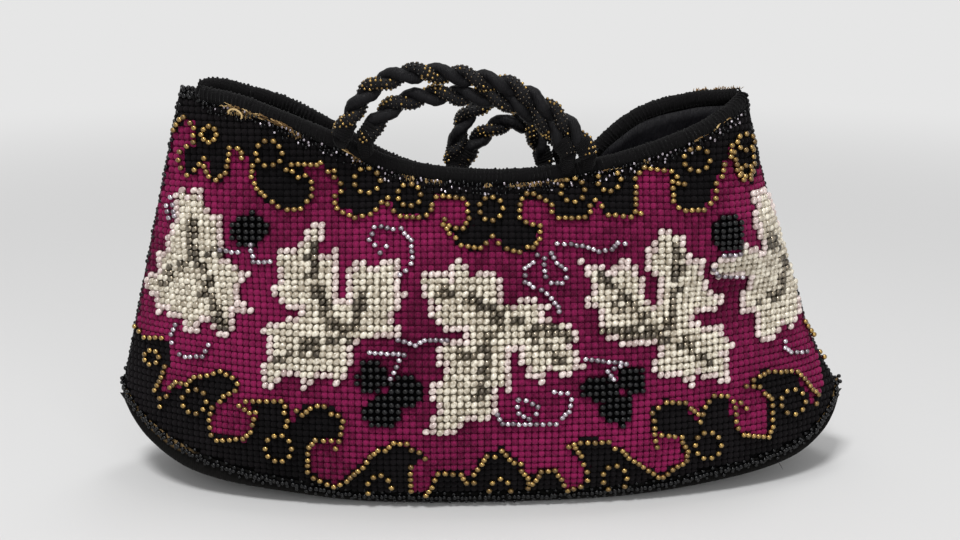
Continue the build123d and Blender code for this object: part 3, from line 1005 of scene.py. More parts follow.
class Recipe:
    """A material being made: one Principled shader and the nodes that feed it.

    Args:
        name: The material's name.
        settings: Values of the shader's own sockets that are the same all over.
    """

    def __init__(self, name: str, settings: dict[str, float | tuple]) -> None:
        """Makes the shader and its output."""
        self.material = bpy.data.materials.new(name)
        self.material.use_nodes = True
        self.tree = self.material.node_tree
        self.tree.nodes.clear()
        self.shader = self.node("ShaderNodeBsdfPrincipled", {}, settings)
        self.out = self.node("ShaderNodeOutputMaterial", {}, {"Surface": self.shader.outputs[0]})

    def node(self, kind: str, settings: dict[str, object], feeds: dict[int | str, object]) -> bpy.types.Node:
        """Adds one node.

        Args:
            kind: The node's type.
            settings: The node's own settings, made before its sockets are fed.
            feeds: What goes into each input: a value, a Value or an output socket.

        Returns:
            The node.
        """
        made = self.tree.nodes.new(kind)
        for key, value in settings.items():
            setattr(made, key, value)
        for key, value in feeds.items():
            if isinstance(value, Value):
                value = value.socket
            if isinstance(value, bpy.types.NodeSocket):
                self.tree.links.new(value, made.inputs[key])
            elif isinstance(value, tuple) and len(value) == 3 and made.inputs[key].type == "RGBA":
                made.inputs[key].default_value = (*value, 1.0)
            else:
                made.inputs[key].default_value = value
        return made

    def shade(self) -> Value:
        """The number that each piece carries from point to point."""
        return Value(self, self.node("ShaderNodeAttribute", {"attribute_name": "shade"}, {}).outputs["Fac"])

    def noise(self, scale: float, detail: float = 2.0,
              stretch: tuple[float, float, float] = (1, 1, 1)) -> Value:
        """Soft noise in the piece's own coordinates, scale to the metre.

        Args:
            scale: Fineness.
            detail: Layers of finer noise.
            stretch: Scale along X, Y and Z.

        Returns:
            The noise.
        """
        at = self.node("ShaderNodeTexCoord", {}, {}).outputs["Object"]
        at = self.node("ShaderNodeMapping", {}, {"Vector": at, "Scale": stretch}).outputs[0]
        made = self.node("ShaderNodeTexNoise", {}, {"Vector": at, "Scale": scale, "Detail": detail})
        return Value(self, made.outputs[0])

    def wave(self, scale: float, direction: str, distortion: float) -> Value:
        """Fine ribs across one of the piece's own directions.

        Args:
            scale: Fineness.
            direction: The axis across the ribs.
            distortion: How far the ribs stray.

        Returns:
            The ribs.
        """
        at = self.node("ShaderNodeTexCoord", {}, {}).outputs["Object"]
        made = self.node("ShaderNodeTexWave", {"bands_direction": direction},
                         {"Vector": at, "Scale": scale, "Distortion": distortion})
        return Value(self, made.outputs[1])

    def blend(self, first: object, second: object, share: Value | float) -> bpy.types.NodeSocket:
        """Mixes two colours by a share of the second."""
        made = self.node("ShaderNodeMix", {"data_type": "RGBA"}, {0: share, 6: first, 7: second})
        return made.outputs[2]

    def colour(self, socket: bpy.types.NodeSocket) -> None:
        """Feeds the shader's colour."""
        self.tree.links.new(socket, self.shader.inputs["Base Color"])

    def feed(self, name: str, value: Value) -> None:
        """Feeds one of the shader's varying inputs."""
        self.tree.links.new(value.socket, self.shader.inputs[name])

    def bump(self, height: Value, strength: float, distance: float) -> None:
        """Raises the surface a little by a height in metres times distance."""
        made = self.node("ShaderNodeBump", {}, {"Height": height, "Strength": strength, "Distance": distance})
        self.tree.links.new(made.outputs[0], self.shader.inputs["Normal"])


@dataclass(frozen=True)
class Wool:
    """Matt dyed wool yarn, with fine fibres and a tone that changes from stitch to stitch."""

    name: str
    pale: Paint
    deep: Paint
    fuzz: float = 0.06
    fibre_scale: float = 2600.0
    fibre_stretch: tuple[float, float, float] = (1.0, 1.0, 0.35)
    drift_scale: float = 18.0
    fibre_height: float = 0.0004

    def make(self) -> Material:
        """Builds the material.

        Returns:
            The material.
        """
        recipe = Recipe(self.name, {"Roughness": 0.95, "Specular IOR Level": 0.08, "Sheen Weight": self.fuzz,
                                    "Sheen Roughness": 0.5})
        fibres = recipe.noise(self.fibre_scale, 3.0, self.fibre_stretch)
        drift = recipe.noise(self.drift_scale, 2.0)
        tone = 0.5 + (recipe.shade() - 0.5) * 0.3 + (fibres - 0.5) * 1.2 + (drift - 0.5) * 1.5
        recipe.colour(recipe.blend(self.deep, self.pale, tone.above(0.0, 1.0)))
        recipe.bump(fibres, 0.5, self.fibre_height)
        return recipe.material


@dataclass(frozen=True)
class Glass:
    """Small glass beads: opaque or clear, with a bright skin. Fine high-contrast mottling within each bead is
    painted glints and painted dark rims.
    """

    name: str
    pale: Paint
    deep: Paint
    roughness: float = 0.12
    coat: float = 0.6
    shine: float = 0.5
    cloud_scale: float = 900.0

    def make(self) -> Material:
        """Builds the material.

        Returns:
            The material.
        """
        recipe = Recipe(self.name, {"Specular IOR Level": self.shine, "Coat Weight": self.coat,
                                    "Coat Roughness": 0.05, "Roughness": self.roughness})
        glint_mottle = recipe.noise(self.cloud_scale, 2.0)
        # painted highlight and shade: the fine noise gives each bead pale glint spots and dark rims, on top
        # of its own random tone
        tone = 0.2 + recipe.shade() * 0.6 + (glint_mottle - 0.5) * 2.4
        recipe.colour(recipe.blend(self.deep, self.pale, tone.above(0.0, 1.0)))
        return recipe.material


@dataclass(frozen=True)
class Metal:
    """Small beads with a metal lustre under clear glass, tarnished in places."""

    name: str
    bright: Paint
    tarnish: Paint
    roughness: float
    lustre: float = 1.0
    coat: float = 0.7
    spot_scale: float = 900.0

    def make(self) -> Material:
        """Builds the material.

        Returns:
            The material.
        """
        recipe = Recipe(self.name, {"Metallic": self.lustre, "Coat Weight": self.coat,
                                    "Coat Roughness": 0.04})
        spots = recipe.noise(self.spot_scale, 3.0)
        tone = 0.15 + recipe.shade() * 0.6 + (spots - 0.5) * 0.7
        recipe.colour(recipe.blend(self.tarnish, self.bright, tone.above(0.0, 0.8)))
        recipe.feed("Roughness", self.roughness + (1 - tone.above(0.1, 0.9)) * 0.25)
        return recipe.material


@dataclass(frozen=True)
class Satin:
    """Dark silk satin with a soft gloss and fine ribs; its colour pales along the fold crests as painted
    sheen.
    """

    name: str
    pale: Paint
    deep: Paint
    roughness: float = 0.42
    fold_scale: float = 170.0
    fold_stretch: tuple[float, float, float] = (1.0, 1.0, 0.5)
    thread_scale: float = 2400.0
    thread_stretch: tuple[float, float, float] = (1.0, 1.0, 0.15)
    fold_height: float = 0.0016

    def make(self) -> Material:
        """Builds the material.

        Returns:
            The material.
        """
        recipe = Recipe(self.name, {"Specular IOR Level": 0.13, "Sheen Weight": 0.02, "Sheen Roughness": 0.4})
        fold_relief_and_sheen = recipe.noise(self.fold_scale, 4.0, self.fold_stretch)
        threads = recipe.noise(self.thread_scale, 2.0, self.thread_stretch)
        # painted sheen: the colour pales with the same fold noise that raises the bump
        recipe.colour(recipe.blend(self.deep, self.pale, fold_relief_and_sheen * 0.7 + threads * 0.3))
        recipe.feed("Roughness", self.roughness + threads * 0.2)
        recipe.bump(fold_relief_and_sheen * 0.8 + threads * 0.2, 1.0, self.fold_height)
        return recipe.material


@dataclass(frozen=True)
class WornCloth:
    """Plain woven cloth with a worn nap: one colour where it is whole and another where it is bare, and
    painted shade that darkens the hollows of its weave.
    """

    name: str
    whole: Paint
    bare: Paint
    low: float
    high: float
    weave_scale: float = 420.0
    weave_stray: float = 1.2
    blotch_scale: float = 60.0
    weave_height: float = 0.0003

    def make(self) -> Material:
        """Builds the material.

        Returns:
            The material.
        """
        recipe = Recipe(self.name, {"Roughness": 0.92, "Specular IOR Level": 0.1, "Sheen Weight": 0.04})
        warp = recipe.wave(self.weave_scale, "X", self.weave_stray)
        weft = recipe.wave(self.weave_scale, "Y", self.weave_stray)
        blotch = recipe.noise(self.blotch_scale, 5.0)
        wear = (blotch * 0.5 + recipe.shade() * 0.8).above(self.low, self.high)
        base = recipe.blend(self.whole, self.bare, wear)
        # painted shade: the colour darkens towards black where the warp and weft ribs are low
        recipe.colour(recipe.blend(base, (0.0, 0.0, 0.0), (1 - warp * weft) * 0.3))
        recipe.bump(warp * 0.5 + weft * 0.5, 0.5, self.weave_height)
        return recipe.material


@dataclass(frozen=True)
class Ground:
    """The canvas behind the stitches and beads. Its black and dark magenta are painted shade in the gaps
    between the stitches; umber lies under the leaves.
    """

    name: str
    black: Paint
    magenta: Paint
    umber: Paint

    def make(self) -> Material:
        """Builds the material.

        Returns:
            The material.
        """
        recipe = Recipe(self.name, {"Roughness": 0.95, "Specular IOR Level": 0.05})
        shade = recipe.shade()
        # painted shade: the black and dark magenta ground colours stand for the shadow in the gaps between
        # stitches
        colour = recipe.blend(self.black, self.magenta, shade.above(0.1, 0.4))
        recipe.colour(recipe.blend(colour, self.umber, shade.above(0.6, 0.9)))
        return recipe.material


def stock(finish: Wool | Glass | Metal | Satin | WornCloth | Ground) -> Material:
    """A field that holds the finish's material, built when its owner is."""
    return field(default_factory=finish.make)


@dataclass
class Wardrobe:
    """Every finish of the bag, each made once."""

    magenta: Material = stock(Wool("magenta_wool", srgb(140, 30, 82), srgb(68, 6, 35)))
    black: Material = stock(Wool("black_wool", srgb(22, 19, 21), srgb(7, 6, 7), 0.02))
    binding: Material = stock(WornCloth("binding_wool", srgb(14, 13, 14), srgb(176, 146, 100), 0.62, 0.78))
    # painted shade: the canvas ground's black and dark magenta stand for the shadow between stitches
    canvas: Material = stock(Ground("canvas_ground", srgb(8, 7, 8), srgb(66, 5, 34), srgb(150, 139, 120)))
    straw: Material = stock(Wool("straw_fibres", srgb(214, 186, 134), srgb(132, 102, 62), 0.05))
    tan: Material = stock(Wool("tan_fibres", srgb(150, 118, 76), srgb(64, 46, 28), 0.05))
    crystal: Material = stock(Glass("crystal_beads", srgb(228, 220, 202), srgb(156, 144, 124), 0.14, 1.0))
    # painted reflection: a rosy glass for the leaf-edge beads, standing for the magenta wool reflected in
    # them
    rosy: Material = stock(Glass("rosy_crystal_beads", srgb(230, 214, 208), srgb(160, 138, 132), 0.14, 1.0))
    smoke: Material = stock(Metal("smoked_beads", srgb(132, 122, 106), srgb(56, 48, 38), 0.18))
    steel: Material = stock(Metal("steel_beads", srgb(196, 188, 196), srgb(88, 76, 84), 0.14))
    gold: Material = stock(Metal("gold_beads", srgb(160, 130, 70), srgb(98, 74, 34), 0.2))
    bronze: Material = stock(Metal("bronze_beads", srgb(56, 44, 26), srgb(10, 8, 7), 0.16))
    jet: Material = stock(Glass("jet_beads", srgb(9, 9, 12), srgb(3, 3, 4), 0.08, 0.0, 0.26))
    # the satins' paler fold crests are painted sheen
    satin: Material = stock(Satin("lining_satin", srgb(22, 21, 25), srgb(6, 6, 8)))
    cord: Material = stock(Satin("cord_satin", srgb(19, 18, 21), srgb(4, 4, 5), 0.4))
    base: Material = stock(WornCloth("base_cloth", srgb(12, 11, 10), srgb(136, 112, 76), 0.5, 0.85))


@dataclass
class Panel:
    """One embroidered panel: its ground, stitches and beads.

    Args:
        canvas: The counted canvas.
        side: The face.
        wardrobe: The finishes.
    """

    canvas: Canvas
    side: Side
    wardrobe: Wardrobe
    ground_columns: int = 120
    ground_rows: int = 56
    ground_sink: float = 0.25
    ground_middle: float = 60.0
    ground_passes: int = 6
    under_roll: float = 3.0
    canvas_thick: float = 1.4
    gold_bead: float = 2.3
    gold_lift: float = 1.9
    leaf_bead: float = 2.74
    leaf_lift: float = 1.15
    leaf_sizes: Span = (0.93, 1.05)
    leaf_tilt: float = 0.75
    vein_share: float = 0.8
    grape_bead: float = 2.35
    grape_lift: float = 1.5
    silver_bead: float = 2.2
    silver_lift: float = 1.8
    stitch_turn: float = 0.05
    stitch_wide: Span = (0.99, 1.07)
    stitch_long: Span = (1.0, 1.08)
    stitch_high: Span = (1.5, 1.95)
    bead_stray: float = 0.1
    bead_rise: float = 0.12
    bead_turn: float = 0.22

    def build(self) -> None:
        """Makes the panel's pieces."""
        draw = random.Random(11 if self.side is Side.FRONT else 12)
        self.build_ground()
        word = self.side.word
        cells = self.canvas.cells(self.side)
        wool: dict[Kind, list[Place]] = {Kind.MAGENTA: [], Kind.BLACK: []}
        leaf, rosy, smoked, grape = [], [], [], []
        for x, z, kind in cells:
            if kind in wool:
                wool[kind].append(self.stitch(x, z, draw))
            elif kind is Kind.GRAPE:
                grape.append(self.bead(x, z, self.grape_bead, self.grape_lift, draw))
            else:
                on_vein = draw.random() < self.vein_share * self.canvas.vein((x, z))
                size = self.leaf_bead * draw.uniform(*self.leaf_sizes)
                place = self.bead(x, z, size, self.leaf_lift, draw, self.leaf_tilt)
                # beads by a leaf's outline take the rosy glass, a painted reflection of the magenta wool
                plain = rosy if self.canvas.near_edge((x, z)) else leaf
                (smoked if on_vein else plain).append(place)
        gold = self.sewn(self.canvas.gold, self.gold_bead, self.gold_lift, draw)
        silver = self.sewn(self.canvas.silver, self.silver_bead, self.silver_lift, draw)
        bead = Template.bead()
        wear = self.wardrobe
        borders = (f"{word}_upper_border", f"{word}_lower_border")
        stitch = Template.stitch()
        self.finish(stitch, f"{word}_magenta_stitches", wool[Kind.MAGENTA], wear.magenta, "wool_panel")
        self.finish(stitch, f"{word}_black_stitches", wool[Kind.BLACK], wear.black, "black_border", *borders)
        self.finish(bead, f"{word}_leaf_beads", leaf, wear.crystal, "crystal_beads", f"{word}_leaves")
        self.finish(bead, f"{word}_leaf_edge_beads", rosy, wear.rosy, "crystal_beads")
        self.finish(bead, f"{word}_vein_beads", smoked, wear.smoke, "crystal_beads")
        self.finish(bead, f"{word}_grape_beads", grape, wear.jet, "black_beads", f"{word}_grapes")
        self.finish(bead, f"{word}_gold_beads", gold, wear.gold, "black_border")
        self.finish(bead, f"{word}_silver_beads", silver, wear.steel, "crystal_beads")

    def sewn(self, spots: list[Spot], size: float, lift: float, draw: random.Random) -> list[Place]:
        """Beads at those of the spots that show on this panel."""
        return [self.bead(x, z, size, lift, draw) for x, z in spots if self.canvas.on_panel(x, z, self.side)]

    def finish(self, template: Template, name: str, places: list[Place], material: Material,
               slot: str, *nodes: str) -> None:
        """Scatters a template, dresses it and hangs it on the bag."""
        piece = template.scatter(name, places)
        dress(piece, material, slot, *nodes)

    def stitch(self, x: float, z: float, draw: random.Random) -> Place:
        """One wool stitch on its cell.

        Args:
            x: Place along the bag.
            z: Height.
            draw: The random source.

        Returns:
            The stitch's place.
        """
        at, along, up, out = self.canvas.form.seat(x, z, self.side)
        turn = draw.gauss(0.0, self.stitch_turn)
        across = along * math.cos(turn) + up * math.sin(turn)
        rise = out.cross(across)
        pitch = self.canvas.pitch
        size = (pitch * draw.uniform(*self.stitch_wide), pitch * draw.uniform(*self.stitch_long),
                draw.uniform(*self.stitch_high))
        return Place(at, (across, rise, out), size, draw.random())

    def bead(self, x: float, z: float, size: float, lift: float, draw: random.Random,
             tilt: float = 0.0) -> Place:
        """One bead sewn on its cell, a little out of line.

        Args:
            x: Place along the bag.
            z: Height.
            size: Its width.
            lift: How far its middle stands out.
            draw: The random source.
            tilt: Lean of its hole.

        Returns:
            The bead's place.
        """
        at, along, up, out = self.canvas.form.seat(x, z, self.side)
        at = (at + out * (lift + draw.uniform(-self.bead_rise, self.bead_rise))
              + along * draw.gauss(0, self.bead_stray) + up * draw.gauss(0, self.bead_stray))
        lean = tilt + draw.gauss(0, self.bead_turn)
        hole = (along * math.cos(lean) + up * math.sin(lean)).normalized()
        other = out.cross(hole)
        slim, long = (0.9, 1.12) if tilt else (0.96, 1.04)
        return Place(at, (other, out, hole), (size * slim, size * 0.96, size * long), draw.random())

    def ground_place(self, s: float, t: float) -> tuple[Vector, float]:
        """A point of the canvas and its shade: t is -1 at the base seam and 1 under the binding.

        Args:
            s: Share of the width.
            t: Share of the way up.

        Returns:
            The point and the shade.
        """
        form, side = self.canvas.form, self.side
        z = self.ground_middle
        for _ in range(self.ground_passes):
            x = self.across(s, z)
            low, high = form.foot_z(x), form.rim_z(x, side) - self.under_roll
            z = low + (high - low) * ((t + 1) / 2)
        x = self.across(s, z)
        kind = self.canvas.kind((x, z))
        pale = kind is Kind.LEAF and not self.canvas.near_edge((x, z))
        # painted shade: 0 and 0.5 pick the dark ground that stands for the shadow between stitches; 1 picks
        # the umber under the leaves
        shade = 1.0 if pale else 0.0 if kind in (Kind.BLACK, Kind.GRAPE) else 0.5
        return form.point(x, z, side, -self.ground_sink * (1 - s**4)), shade

    def build_ground(self) -> None:
        """The canvas itself, a smooth sheet a little below the stitches."""
        word = self.side.word
        piece = sheet(f"{word}_canvas", self.ground_columns, self.ground_rows, self.ground_place,
                      self.side is Side.BACK, self.canvas_thick)
        dress(piece, self.wardrobe.canvas, "wool_panel", f"{word}_panel")

    def across(self, s: float, z: float) -> float:
        """Place along the bag at a share s of its width, from -1 at the left seam to 1."""
        left, right = self.canvas.form.seam_x(z, -1), self.canvas.form.seam_x(z, 1)
        return (left + right) / 2 + (right - left) / 2 * s


def dress(piece: bpy.types.Object, material: Material, slot: str, *nodes: str,
          body: str = "bag") -> None:
    """Gives a piece its finish, hides the solids that it stands for and hangs it on the body that it rides
    on.

    Args:
        piece: The piece.
        material: Its finish.
        slot: The record's material slot; not used.
        nodes: The solids that it replaces.
        body: The body that carries it.
    """
    piece.data.materials.clear()
    piece.data.materials.append(material)
    if nodes:
        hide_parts(*nodes)
    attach(piece, body)
    log.info("%s: %d faces", piece.name, len(piece.data.polygons))


@dataclass
class BaseAndLining:
    """The boat-shaped cloth base and the satin lining inside the bag.

    Args:
        form: The bag's shape.
        wardrobe: The finishes.
    """

    form: BagForm
    wardrobe: Wardrobe
    columns: int = 96
    base_rows: int = 30
    base_thick: float = 1.6
    base_reach: float = 0.993
    flat_share: float = 0.62
    overlap: float = 0.7
    bulge: float = 1.6
    slim_depth: float = 8.0
    stand: float = 0.65
    worn_left: Span = (-120.0, -104.0)
    worn_right: Span = (126.0, 131.0)
    worn_from: float = 0.55
    worn_fade: float = 0.3
    worn_right_share: float = 0.8
    lining_rows: int = 84
    lining_thick: float = 0.5
    lining_in: float = 3.1
    lining_drop: float = 5.5
    lining_seam: float = 2.6
    lining_least: float = 0.4
    lining_passes: int = 6
    floor_share: float = 0.22
    fold: float = 0.9

    def past(self, t: float, flat: float) -> float:
        """How far t has gone up a side, from 0 where the flat share ends to 1 at the seam or hem."""
        return min(max((abs(t) - flat) / (1 - flat), 0.0), 1.0)

    def bare(self, x: float) -> float:
        """How bare the base is worn by its front seam at x, from 0 to 1.

        Args:
            x: Place along the bag.

        Returns:
            The wear.
        """
        pale, dark = self.worn_left
        left = min(max((dark - x) / (dark - pale), 0.0), 1.0)
        dark, pale = self.worn_right
        right = min(max((x - dark) / (pale - dark), 0.0), 1.0)
        return max(left, self.worn_right_share * right)

    def base_place(self, s: float, t: float) -> tuple[Vector, float]:
        """A point of the base: t is -1 at the front seam, 1 at the back seam.

        Args:
            s: Share of the width.
            t: Share of the way across.

        Returns:
            The point and how bare it is.
        """
        side = Side.FRONT if t < 0 else Side.BACK
        x = self.form.half_width * s * self.base_reach
        rise = self.past(t, self.flat_share)
        low = self.form.hull_z(x)
        tall = self.form.foot_z(x) + self.overlap - low
        z = low + tall * rise**1.3
        edge = self.form.depth(x, low + tall * max(rise, 0.02), side)
        swell = self.bulge * math.sin(math.pi * min(rise + 0.25, 1.0)) * min(1.0, edge / self.slim_depth)
        y = side.value * (edge + swell) * (1.0 if rise > 0 else abs(t) / self.flat_share)
        near_seam = min(max((rise - self.worn_from) / self.worn_fade, 0.0), 1.0)
        bare = self.bare(x) if side is Side.FRONT else 0.0
        return Vector((x, y, max(z, low + self.stand))), bare * near_seam

    def lining_place(self, s: float, t: float) -> tuple[Vector, float]:
        """A point of the lining: t is -1 at the front hem, 0 on the floor, 1 at the back hem.

        Args:
            s: Share of the width.
            t: Share of the way across.

        Returns:
            The point and its shade.
        """
        side = Side.FRONT if t < 0 else Side.BACK
        x = self.form.half_width * s
        up = self.past(t, self.floor_share)
        z = self.form.hull_z(x)
        for _ in range(self.lining_passes):
            left = self.form.seam_x(z, -1) + self.lining_seam
            right = self.form.seam_x(z, 1) - self.lining_seam
            x = (left + right) / 2 + (right - left) / 2 * s
            low = self.form.hull_z(x) + self.lining_in
            z = low + (self.form.rim_z(x, side) - self.lining_drop - low) * up
        depth = max(self.form.depth(x, z, side) - self.lining_in, self.lining_least)
        swell = math.sin(x * 0.21 + z * 0.03) * 0.6 + math.sin(x * 0.37 - z * 0.05 + 1.0) * 0.4
        room = min(1.0, depth / self.slim_depth)
        depth -= room * self.fold * (1 + swell) * (up > 0)
        y = side.value * depth * (1.0 if up > 0 else abs(t) / self.floor_share)
        return Vector((x, y, z)), 0.5

    def build(self) -> None:
        """Makes the base and the lining."""
        base = sheet("base_cloth", self.columns, self.base_rows, self.base_place, True, self.base_thick)
        dress(base, self.wardrobe.base, "base_cloth", "base_panel")
        lining = sheet("satin_lining", self.columns, self.lining_rows, self.lining_place, False,
                       self.lining_thick)
        dress(lining, self.wardrobe.satin, "satin_lining", "lining")


@dataclass
class Rim:
    """The rolled, whip-stitched binding along one panel's top edge, with its row of small beads.

    Args:
        form: The bag's shape.
        side: The face.
        wardrobe: The finishes.

    A row of beads is its drop below the edge and the share of its beads that is missing. A frayed or worn
    patch is its first and last pixel across the photograph and how worn it is.
    """

    form: BagForm
    side: Side
    wardrobe: Wardrobe
    start_x: float = -104.5
    end_x: float = 94.5
    step: float = 1.2
    drop: float = 2.4
    sink: float = 1.1
    end_taper: float = 9.0
    end_depth: float = 1.6
    full_depth: float = 2.2
    sides: int = 12
    core: float = 2.8
    strand: float = 0.5
    thread_sides: int = 5
    whip_in: float = 0.12
    whip_pitch: float = 1.5
    bead: float = 1.1
    bead_pitch: float = 1.5
    bead_rows: tuple[Span, ...] = ((5.2, 0.1), (6.6, 0.15), (8.2, 0.5))
    bead_lift: float = 1.7
    glint_share: float = 0.32
    px_to_mm: float = 0.362
    middle_px: float = 484.0
    frayed: tuple[tuple[float, float, float], ...] = (
        (224, 300, 1.0), (340, 356, 0.3), (600, 622, 0.25), (690, 704, 0.5), (712, 742, 0.8))
    fray_density: float = 0.85
    fray_turn: Span = (0.35, 1.3)
    fray_long: Span = (1.2, 4.4)
    fray_lift: Span = (0.15, 0.6)
    fray_wide: Span = (0.14, 0.34)
    fray_tan: float = 0.55
    worn_foot: tuple[tuple[float, float, float], ...] = (
        (228, 250, 0.9), (286, 298, 0.9), (350, 358, 0.4), (396, 410, 0.5), (420, 444, 0.8),
        (482, 488, 0.6), (506, 560, 1.0), (640, 646, 0.4))
    foot_density: float = 2.4
    foot_turn: Span = (0.75, 1.25)
    foot_long: Span = (0.9, 2.6)
    foot_wide: Span = (0.15, 0.3)
    foot_tan: float = 0.4
    curl_x: float = -90.0
    curl_drop: float = 6.4
    curl_wide: float = 2.4
    curl_high: float = 1.7
    tuft_reach: Spot = (79.0, 94.0)
    tuft_count: int = 150

    def middle(self, x: float) -> Vector:
        """The binding's middle line at x.

        Args:
            x: Place along the bag.

        Returns:
            The point.
        """
        z = self.form.rim_z(x, self.side) - self.drop
        near = min(1.0, min(x - self.start_x, self.end_x - x) / self.end_taper)
        depth = max(self.form.depth(x, z, self.side) - self.sink, self.end_depth + self.full_depth * near)
        return Vector((x, self.side.value * depth, z))

    def spots(self, patches: tuple[tuple[float, float, float], ...], density: float,
              draw: random.Random) -> list[float]:
        """Places along the bag of frayed threads, in the patches seen in the photograph.

        Args:
            patches: First and last pixel of each patch and how worn it is.
            density: Threads for each pixel where it is fully worn.
            draw: The source of small differences.

        Returns:
            The places along the bag.
        """
        found = []
        for low, high, amount in patches:
            for _ in range(int((high - low) * density * amount)):
                x = (draw.uniform(low, high) - self.middle_px) * self.px_to_mm
                if self.start_x + 3 < x < self.end_x - 2:
                    found.append(x)
        return found

    def path(self) -> list[Vector]:
        """Points of the middle line, close together.

        Returns:
            The points.
        """
        long = self.end_x - self.start_x
        count = int(long / self.step)
        return [self.middle(self.start_x + long * i / count) for i in range(count + 1)]

    def build(self) -> None:
        """Makes the binding, its whip stitches, its beads and its frayed threads."""
        draw = random.Random(31 if self.side is Side.FRONT else 32)
        word = self.side.word
        path = self.path()
        radii = [self.core * min(1.0, 0.6 + 0.2 * min(i, len(path) - 1 - i)) * draw.uniform(0.95, 1.05)
                 for i in range(len(path))]
        core = tube(f"{word}_rim_roll", path, radii, self.sides)
        dress(core, self.wardrobe.binding, "binding_wool", f"{word}_rim_binding")
        wound = helix(path, self.core - self.whip_in, self.whip_pitch, 0.4, 9)
        points = [at + Vector((draw.gauss(0, 0.12), draw.gauss(0, 0.1), draw.gauss(0, 0.1)))
                  for at, _ in wound]
        widths = [self.strand * draw.uniform(0.6, 1.25) for _ in points]
        whip = tube(f"{word}_whip_stitches", points, widths, self.thread_sides)
        dress(whip, self.wardrobe.binding, "binding_wool")
        self.build_beads(draw)
        if self.side is Side.FRONT:
            self.build_frays(draw)
        else:
            self.build_tuft(draw)

    def build_beads(self, draw: random.Random) -> None:
        """The small beads sewn along the foot of the binding, black ones and glinting ones.

        Args:
            draw: The random source.
        """
        black, bright = [], []
        for row, (drop, missing) in enumerate(self.bead_rows):
            x = self.start_x + 2
            while x < self.end_x - 2:
                x += self.bead_pitch * draw.uniform(0.7, 1.2)
                if draw.random() < missing:
                    continue
                z = self.form.rim_z(x, self.side) - drop + draw.gauss(0, 0.4)
                at, along, up, out = self.form.seat(x, z, self.side)
                size = self.bead * draw.uniform(0.75, 1.1)
                long = size * draw.uniform(1.0, 1.6)
                at = at + out * (self.bead_lift - 0.3 * row)
                place = Place(at, (along, up, out), (size, long, size), draw.random())
                (bright if draw.random() < self.glint_share else black).append(place)
        word = self.side.word
        plain = Template.bead(6, 5).scatter(f"{word}_rim_beads", black)
        dress(plain, self.wardrobe.jet, "jet_beads")
        cut = Template.bead(6, 4, smooth=False).scatter(f"{word}_rim_glints", bright)
        dress(cut, self.wardrobe.steel, "jet_beads")

    def build_frays(self, draw: random.Random) -> None:
        """Fibres of the worn canvas: along the roll, hanging from its foot, and one pale curl.

        Args:
            draw: The random source.
        """
        straw, tan = [self.curl()], []
        for x in self.spots(self.frayed, self.fray_density, draw):
            turn = draw.uniform(*self.fray_turn)
            long = draw.uniform(*self.fray_long)
            climb = draw.gauss(0, 0.05)
            points = []
            for i in range(6):
                place = min(max(x + long * (i / 5 - 0.5), self.start_x + 2), self.end_x - 1)
                around = turn + climb * (i - 2.5) + draw.gauss(0, 0.03)
                out = Vector((0, self.side.value * math.cos(around), -math.sin(around)))
                points.append(self.middle(place) + out * (self.core + draw.uniform(*self.fray_lift)))
            wide = draw.uniform(*self.fray_wide)
            radii = [wide * share for share in (0.5, 0.9, 1.0, 1.0, 0.8, 0.4)]
            heap = tan if draw.random() < self.fray_tan else straw
            heap.append(tube("thread", points, radii, 4, draw.random()))
        for x in self.spots(self.worn_foot, self.foot_density, draw):
            turn = draw.uniform(*self.foot_turn)
            out = Vector((0, self.side.value * math.cos(turn), -math.sin(turn)))
            foot = self.middle(x) + out * (self.core + 0.2)
            long = draw.uniform(*self.foot_long)
            lean = draw.gauss(0, 0.45)
            tip = foot + Vector((lean * long, self.side.value * 0.55, -long * 0.9))
            bend = foot.lerp(tip, 0.5) + Vector((draw.gauss(0, 0.15), self.side.value * 0.35, 0))
            wide = draw.uniform(*self.foot_wide)
            thread = tube("thread", [foot, bend, tip], [wide, wide, 0.5 * wide], 4, draw.random())
            (tan if draw.random() < self.foot_tan else straw).append(thread)
        dress(join(f"{self.side.word}_straw_threads", straw), self.wardrobe.straw, "binding_wool")
        dress(join(f"{self.side.word}_tan_threads", tan), self.wardrobe.tan, "binding_wool")

    def curl(self) -> bpy.types.Object:
        """The pale curled thread at the left of the binding's foot.

        Returns:
            The piece.
        """
        points = []
        for i in range(11):
            around = math.radians(200 - 24 * i)
            x = self.curl_x + self.curl_wide * math.cos(around)
            z = self.form.rim_z(x, self.side) - self.curl_drop + self.curl_high * math.sin(around)
            depth = self.form.depth(x, z, self.side)
            points.append(Vector((x, self.side.value * (max(depth, 1.0) + 2.3), z)))
        return tube("curl", points, [0.2] + [0.36] * 9 + [0.2], self.thread_sides, 0.9)

    def build_tuft(self, draw: random.Random) -> None:
        """The worn brown nap at the top of the right corner.

        Args:
            draw: The random source.
        """
        made = []
        for _ in range(self.tuft_count):
            x = draw.uniform(*self.tuft_reach)
            turn = draw.uniform(-0.2, 1.6)
            out = Vector((draw.gauss(0, 0.25), self.side.value * math.cos(turn), math.sin(turn))).normalized()
            foot = self.middle(x) + out * (self.core - 0.1)
            tip = foot + out * draw.uniform(0.5, 1.5) + Vector((draw.gauss(0, 0.5), draw.gauss(0, 0.4), 0))
            wide = draw.uniform(0.12, 0.22)
            line = [foot, foot.lerp(tip, 0.6), tip]
            made.append(tube("fibre", line, [wide, wide, 0.05], 4, draw.random()))
        dress(join(f"{self.side.word}_worn_tuft", made), self.wardrobe.tan, "binding_wool")


def join(name: str, parts: list[bpy.types.Object]) -> bpy.types.Object:
    """Joins several pieces into one.

    Args:
        name: Name of the joined piece.
        parts: The pieces, which go.

    Returns:
        The joined piece.
    """
    bm = bmesh.new()
    for part in parts:
        bm.from_mesh(part.data)
        mesh = part.data
        bpy.data.objects.remove(part)
        bpy.data.meshes.remove(mesh)
    return settle(name, bm, smooth=False)


